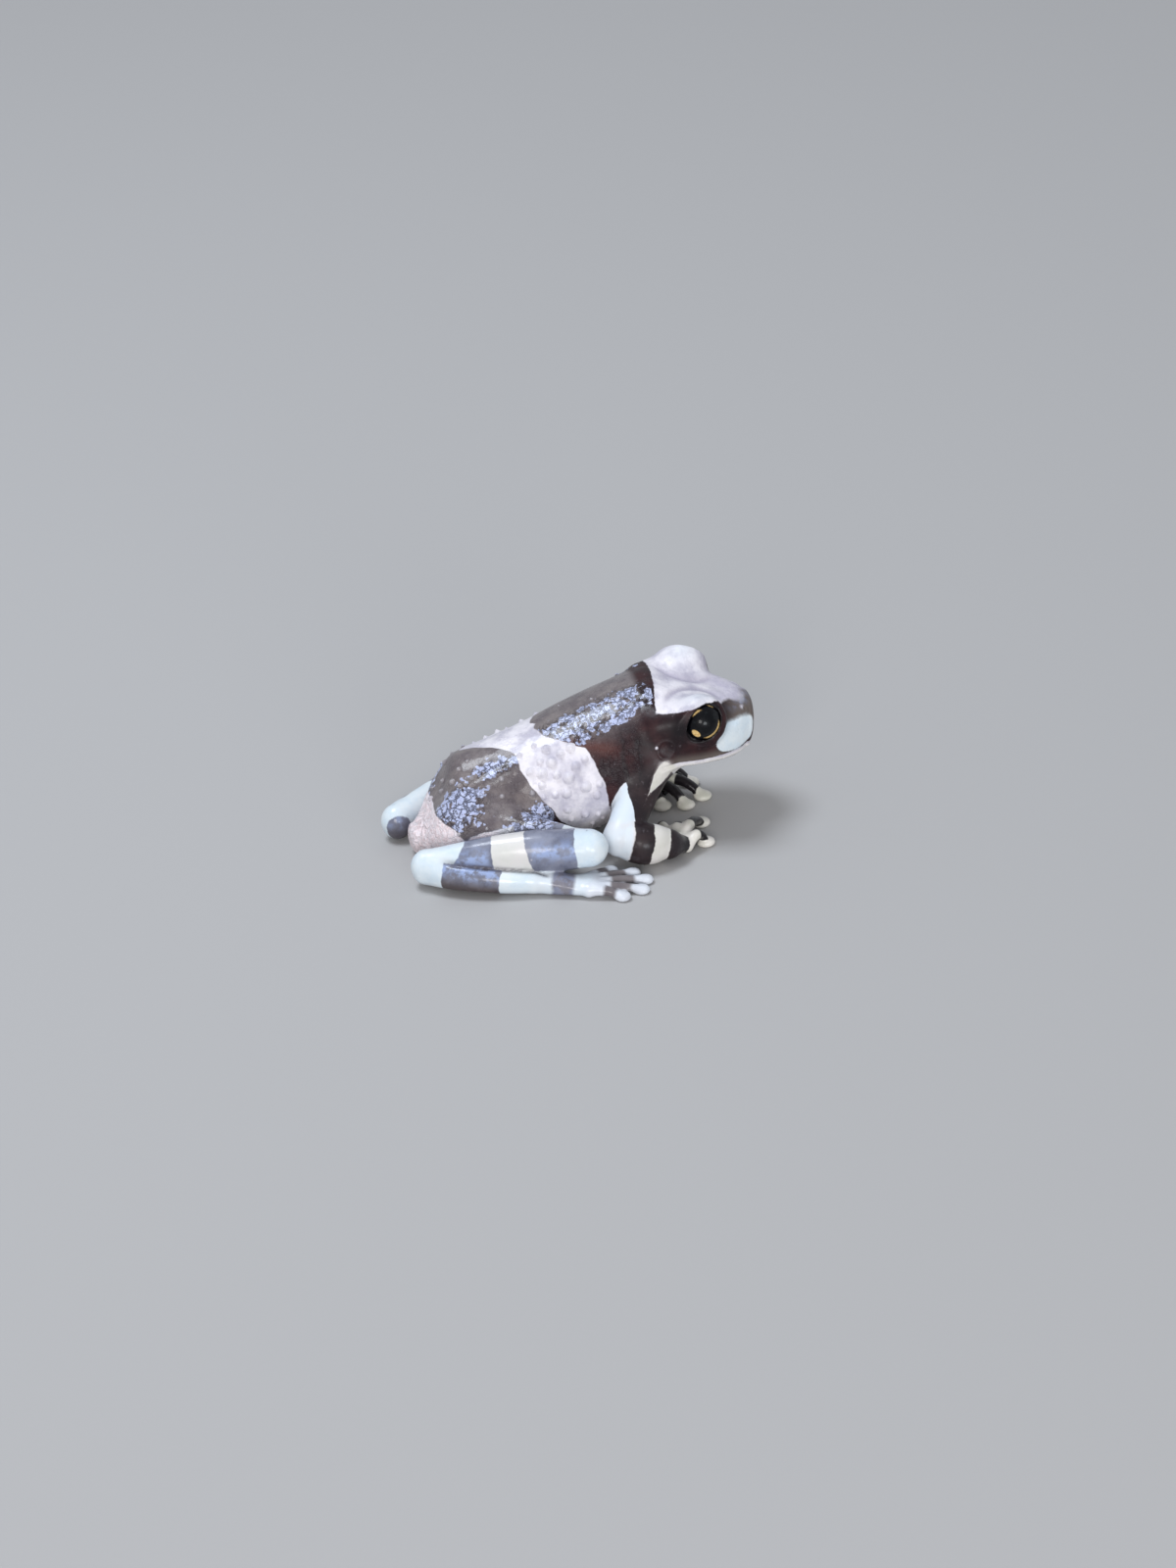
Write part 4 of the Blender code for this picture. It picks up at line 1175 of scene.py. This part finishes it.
def build_skin_material(ragged_edge, moist_grain):
    material, wires, surface = new_material("banded skin")
    place = wires.millimetres()
    at = wires.attribute
    softness = wires.blend(at("soft"), 0.5, 0.09)
    edge = {"place": place, "field": at("dark"), "wander": 0.55, "softness": softness}
    dark = wires.group(ragged_edge, **edge)["Mask"]
    patch = wires.cloud(place, 0.35, 3.0, 0.6)
    fleck = wires.cloud(place, 1.6, 3.0, 0.65)
    streak = wires.cloud(place, 0.8, 3.0, 0.6)
    pale_coats = {
        # painted shade on the crown's valley and creases
        "painted_shade": linear(172, 166, 182),
        "cool": wires.tones(patch, 0.3, 0.7, (206, 220, 230), (222, 229, 232)),
        "cream": wires.tones(patch, 0.3, 0.7, (206, 204, 190), (232, 226, 218)),
        "rosy": wires.tones(fleck, 0.35, 0.65, (240, 220, 222), (240, 230, 234)),
    }
    dark_coats = {
        "maroon": wires.tones(patch, 0.35, 0.7, (34, 18, 23), (60, 32, 34)),
        "rust": linear(104, 60, 52),
        "steel": wires.tones(patch, 0.3, 0.7, (106, 109, 126), (136, 139, 155)),
        "faded": linear(110, 100, 94),
        # near-black of the hands, arms and the dark behind the eyes, also used as painted shade in the neck's
        # creases and inside the eye openings
        "black_and_shade": linear(26, 22, 25),
    }
    pale = wires.tones(patch, 0.35, 0.7, (232, 227, 232), (186, 182, 195))
    for name, paint in pale_coats.items():
        pale = wires.mix(at(name), pale, paint)
    deep = wires.tones(patch, 0.35, 0.65, (102, 93, 96), (128, 119, 118))
    for name, paint in dark_coats.items():
        deep = wires.mix(at(name), deep, paint)
    deep = wires.mix(wires.ramp(fleck, 0.6, 0.78, 0.0, 0.25), deep, linear(150, 142, 148))
    # Painted highlight: bluish-white patches on the shoulder and saddle, where the painted highlight weight
    # is high
    highlight_patches = wires.ramp(wires.blend(at("painted_highlight"), 0.22, wires.cloud(place, 0.9, 2.0, 0.6)), 0.67, 0.72)
    highlight_patches = wires.times(highlight_patches, wires.ramp(at("painted_highlight"), 0.1, 0.4))
    deep = wires.mix(highlight_patches, deep, wires.mix(fleck, linear(148, 157, 198), linear(214, 220, 244)))
    # Painted highlight: bluish streaks of sheen on the snout, shanks, tarsi and soles
    painted_sheen_mask = wires.times(at("painted_sheen"), wires.ramp(streak, 0.4, 0.6, 0.08, 0.85))
    deep = wires.mix(painted_sheen_mask, deep, linear(158, 176, 216))
    colour = wires.mix(dark, pale, deep)
    # Painted shade along the seams where parts of the legs lie against each other
    colour = wires.mix(wires.times(at("seam_groove_and_shade"), 0.75), colour, linear(60, 48, 56))
    grain = wires.group(moist_grain, place=place, granules=at("granule"), folds=at("fold"))
    # Painted shade: the cracks between the folds are darkened, most in the painted highlight patches
    crevice_shade = wires.times(grain["CreviceShade"], wires.blend(at("painted_highlight"), 0.5, 0.2))
    colour = wires.mix(crevice_shade, colour, linear(38, 28, 32))
    wart_top = wires.times(at("wart"), wires.times(dark, 0.65))
    colour = wires.mix(wart_top, colour, linear(198, 194, 200))
    dull = wires.times(at("maroon"), wires.math("SUBTRACT", 1.0, at("painted_highlight")))
    dull = wires.math("MAXIMUM", dull, wires.times(at("granule"), 0.6))
    rough = wires.ramp(wires.cloud(place, 0.7, 3.0, 0.6), 0.35, 0.65, 0.26, 0.40)
    bump = {"Height": grain["Height"], "Distance": 0.001, "Strength": 1.0}
    finish = {
        "Base Color": colour,
        "Roughness": wires.blend(dull, 0.08, rough),
        "Coat Weight": wires.blend(dull, -0.48, 0.5),
        "Coat Roughness": 0.16,
        "IOR": 1.45,
        "Specular IOR Level": 0.24,
        "Normal": wires.add("ShaderNodeBump", bump).outputs["Normal"],
    }
    for key, value in finish.items():
        wires.feed(surface[key], value)
    return material


ragged_edge = build_ragged_edge()
skin_material = build_skin_material(ragged_edge, build_moist_grain())
skin.data.materials.append(skin_material)


def build_wart_tree():
    """Geometry nodes that scatter low domes over the skin, as thick and as large as its attributes say."""
    measures = dict.fromkeys(("Spacing", "Density", "Height", "Sink"), "Float")
    sockets = {"Skin": "Geometry", **measures, "Seed": "Int", "Finish": "Material"}
    outputs = {"Warts": "Geometry"}
    tree, wires, given, result = new_group("wart scatter", sockets, outputs, "GeometryNodeTree")
    share, size = (
        wires.add("GeometryNodeInputNamedAttribute", {"Name": name}, data_type="FLOAT").outputs[0]
        for name in ("wart_share", "wart_size")
    )
    spread = wires.add("GeometryNodeDistributePointsOnFaces", distribute_method="POISSON")
    spread_inputs = {"Distance Min": "Spacing", "Density Max": "Density", "Seed": "Seed", "Mesh": "Skin"}
    for key, label in spread_inputs.items():
        wires.feed(spread.inputs[key], given[label])
    wires.feed(spread.inputs["Density Factor"], share)
    plot = {"Size X": 2.2, "Size Y": 2.2, "Vertices X": 7, "Vertices Y": 7}
    grid = wires.add("GeometryNodeMeshGrid", plot)
    place = wires.add("GeometryNodeInputPosition").outputs[0]
    radius = wires.add("ShaderNodeVectorMath", {0: place}, operation="LENGTH").outputs["Value"]
    bell = wires.ramp(radius, 0.0, 1.0, 1.0, 0.0)
    sunk = wires.times(wires.times(radius, radius), given["Sink"])
    lift = wires.math("SUBTRACT", wires.times(bell, given["Height"]), sunk)
    offset = wires.add("ShaderNodeCombineXYZ", {"Z": lift}).outputs[0]
    stored = {"Geometry": grid.outputs["Mesh"], "Name": "wart", "Value": bell}
    mound = wires.add("GeometryNodeStoreNamedAttribute", stored, domain="POINT")
    raised = wires.add("GeometryNodeSetPosition", {"Geometry": mound.outputs[0], "Offset": offset})
    vary = wires.add("FunctionNodeRandomValue", {2: 0.7, 3: 1.25, "Seed": given["Seed"]}, data_type="FLOAT")
    placing = {
        "Points": spread.outputs["Points"],
        "Instance": raised.outputs[0],
        "Rotation": spread.outputs["Rotation"],
        "Scale": wires.times(wires.times(size, vary.outputs[1]), MM),
    }
    placed = wires.add("GeometryNodeInstanceOnPoints", placing)
    real = wires.add("GeometryNodeRealizeInstances", {"Geometry": placed.outputs[0]})
    smooth = wires.add("GeometryNodeSetShadeSmooth", {"Geometry": real.outputs[0]})
    finish = {"Geometry": smooth.outputs[0], "Material": given["Finish"]}
    wires.feed(result["Warts"], wires.add("GeometryNodeSetMaterial", finish).outputs[0])
    return tree


def scatter_warts(skin, settings):
    tree = build_wart_tree()
    carrier = place_object("wart carrier", skin.data)
    modifier = carrier.modifiers.new("warts", "NODES")
    modifier.node_group = tree
    for item in tree.interface.items_tree:
        if item.name in settings:
            modifier[item.identifier] = settings[item.name]
    seen = carrier.evaluated_get(bpy.context.evaluated_depsgraph_get())
    mesh = bpy.data.meshes.new_from_object(seen)
    carrier.modifiers.remove(modifier)
    bpy.data.objects.remove(carrier)
    return place_object("warts", mesh)


WART_SETTINGS = {
    "Spacing": 0.00145,
    "Density": 6.0e6,
    "Height": 0.68,
    "Sink": 0.25,
    "Seed": 11,
    "Finish": skin_material,
}
warts = scatter_warts(skin, WART_SETTINGS)


# Golden arcs of the iris: start and end in degrees from the snout side, and distances from its middle
IRIS_ARCS = ((110, 152, 1.8, 2.04), (60, 84, 2.28, 2.5), (-82, 10, 1.72, 2.16), (-150, -106, 1.34, 2.08))
EYE_RINGS = 48
EYE_SPOKES = 72
CORNEA_BULGE = 0.07
CORNEA_ANGLE = 0.75  # radians


def build_eye(side):
    """A ball with a slight cornea, its poles along the gaze, and the iris as a value at each point."""
    gaze = Vector(on_side(GAZE, side)).normalized()
    up = gaze.cross(Vector((1.0, 0.0, 0.0))).normalized() * -SIDES[side]
    ahead = up.cross(gaze).normalized() * -SIDES[side]
    points, faces, golden = [], [], []
    for i in range(EYE_RINGS + 1):
        tilt = math.pi * i / EYE_RINGS
        beside = math.sin(tilt)
        out = EYE_RADIUS - EYE_INSET + CORNEA_BULGE * max(0.0, 1 - (tilt / CORNEA_ANGLE) ** 2)
        beyond = beside * EYE_RADIUS if tilt < math.pi / 2 else 9.0
        for j in range(EYE_SPOKES):
            turn = 2 * math.pi * j / EYE_SPOKES
            way = gaze * math.cos(tilt) + (ahead * math.cos(turn) + up * math.sin(turn)) * beside
            points.append(HEAD_TURN @ np.array(way * out) + from_head(on_side(EYE, side)))
            golden.append(iris_gold(beyond, math.degrees(turn)))
    for i, j in np.ndindex(EYE_RINGS, EYE_SPOKES):
        here, after = i * EYE_SPOKES, (i + 1) * EYE_SPOKES
        k = (j + 1) % EYE_SPOKES
        faces.append((here + j, after + j, after + k, here + k))
    eye = new_mesh(f"eyeball_{side}", np.array(points), np.array(faces), {"gold": golden})
    close_poles(eye)
    return eye


def iris_gold(beyond, degrees):
    """Above 0 on the golden arcs."""
    best = -1.0
    for start, end, inner, outer in IRIS_ARCS:
        half_angle, half_width = (end - start) / 2, (outer - inner) / 2
        turned = (degrees - (start + end) / 2 + 180) % 360 - 180
        off = math.hypot(turned / half_angle, (beyond - (inner + outer) / 2) / half_width)
        best = max(best, (1 - off) * half_width)
    return best


def close_poles(obj):
    body = bmesh.new()
    body.from_mesh(obj.data)
    bmesh.ops.remove_doubles(body, verts=body.verts, dist=1e-7)
    bmesh.ops.recalc_face_normals(body, faces=body.faces)
    body.to_mesh(obj.data)
    body.free()


def build_eye_material(ragged_edge):
    material, wires, surface = new_material("wet eye")
    place = wires.millimetres()
    edge = {"place": place, "field": wires.attribute("gold"), "wander": 0.1, "softness": 0.05}
    gold = wires.group(ragged_edge, **edge)["Mask"]
    fleck = wires.cloud(place, 6.0, 3.0, 0.7)
    metal = wires.tones(fleck, 0.35, 0.65, (204, 160, 92), (246, 216, 154))
    black = wires.tones(wires.cloud(place, 1.2), 0.55, 0.75, (5, 5, 9), (22, 24, 26))
    bump = {"Height": fleck, "Distance": 0.00003, "Strength": 0.6}
    finish = {
        "Base Color": wires.mix(gold, black, metal),
        "Roughness": 0.35,
        "Specular IOR Level": 0.1,
        "Coat Weight": 1.0,
        "Coat IOR": 1.22,
        "Coat Roughness": 0.03,
        "Normal": wires.add("ShaderNodeBump", bump).outputs["Normal"],
    }
    for key, value in finish.items():
        wires.feed(surface[key], value)
    return material


eye_material = build_eye_material(ragged_edge)
for side_name in SIDES:
    eyeball = build_eye(side_name)
    eyeball.data.materials.append(eye_material)
    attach(eyeball, "root")
    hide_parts(f"eye_{side_name}")

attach(skin, "root")
FLESH = [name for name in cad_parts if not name.startswith("eye_")]
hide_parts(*FLESH)
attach(warts, "root")

# Camera: the photo's view, from behind the frog's right side and above, and slightly rolled
CAMERA_AZIMUTH = -12.0
CAMERA_ELEVATION = 27.0
CAMERA_ROLL = 4.1
CAMERA_DISTANCE = 0.9
FRAME_WIDTH = 0.1558
AIM_RIGHT = 0.00373
AIM_UP = 0.00617

# Lights: name, direction, distance, size, power and colour
LIGHTS = (
    ("overhead", (-0.27, 0.20, 0.94), 0.7, 0.28, 2.9, (0.84, 0.91, 1.0)),
    ("front fill", (-0.35, -0.86, 0.36), 0.9, 0.32, 2.5, (1.0, 0.97, 0.96)),
    ("low fill", (0.12, -0.98, 0.13), 0.8, 0.3, 2.2, (0.92, 0.96, 1.0)),
)
FLOOR_RADIUS = 4.0
FLOOR_COLOUR = (0.44, 0.43, 0.425, 1.0)
SKY_COLOUR = (0.80, 0.84, 0.90, 1.0)
SKY_STRENGTH = 0.54


def place_camera():
    azimuth, elevation = math.radians(CAMERA_AZIMUTH), math.radians(CAMERA_ELEVATION)
    level = math.cos(elevation)
    back = Vector((math.sin(azimuth) * level, -math.cos(azimuth) * level, math.sin(elevation)))
    turn = back.to_track_quat("Z", "Y").to_matrix() @ Matrix.Rotation(math.radians(-CAMERA_ROLL), 3, "Z")
    aim = Vector(SHIFT * MM) + turn.col[0] * AIM_RIGHT + turn.col[1] * AIM_UP
    data = bpy.data.cameras.new("camera")
    data.sensor_fit = "HORIZONTAL"
    data.angle = 2 * math.atan(FRAME_WIDTH / 2 / CAMERA_DISTANCE)
    data.clip_start = 0.01
    data.clip_end = 20.0
    camera = place_object("camera", data)
    camera.matrix_world = Matrix.Translation(aim + back * CAMERA_DISTANCE) @ turn.to_4x4()
    bpy.context.scene.camera = camera


def add_light(name, direction, distance, size, power, colour):
    data = bpy.data.lights.new(name, "AREA")
    data.shape = "DISK"
    data.size = size
    data.energy = power
    data.color = colour
    way = Vector(direction).normalized()
    light = place_object(name, data)
    turn = way.to_track_quat("Z", "Y").to_matrix().to_4x4()
    light.matrix_world = Matrix.Translation(way * distance) @ turn


def build_stage():
    mesh = bpy.data.meshes.new("floor")
    body = bmesh.new()
    bmesh.ops.create_circle(body, cap_ends=True, segments=96, radius=FLOOR_RADIUS)
    body.to_mesh(mesh)
    body.free()
    floor = place_object("floor", mesh)
    paint, _, surface = new_material("floor paint")
    surface["Base Color"].default_value = FLOOR_COLOUR
    surface["Roughness"].default_value = 0.8
    mesh.materials.append(paint)
    world = bpy.data.worlds.new("studio")
    world.use_nodes = True
    background = world.node_tree.nodes["Background"].inputs
    background["Color"].default_value = SKY_COLOUR
    background["Strength"].default_value = SKY_STRENGTH
    bpy.context.scene.world = world


place_camera()
build_stage()
bpy.context.scene.view_settings.view_transform = "Standard"
for settings in LIGHTS:
    add_light(*settings)
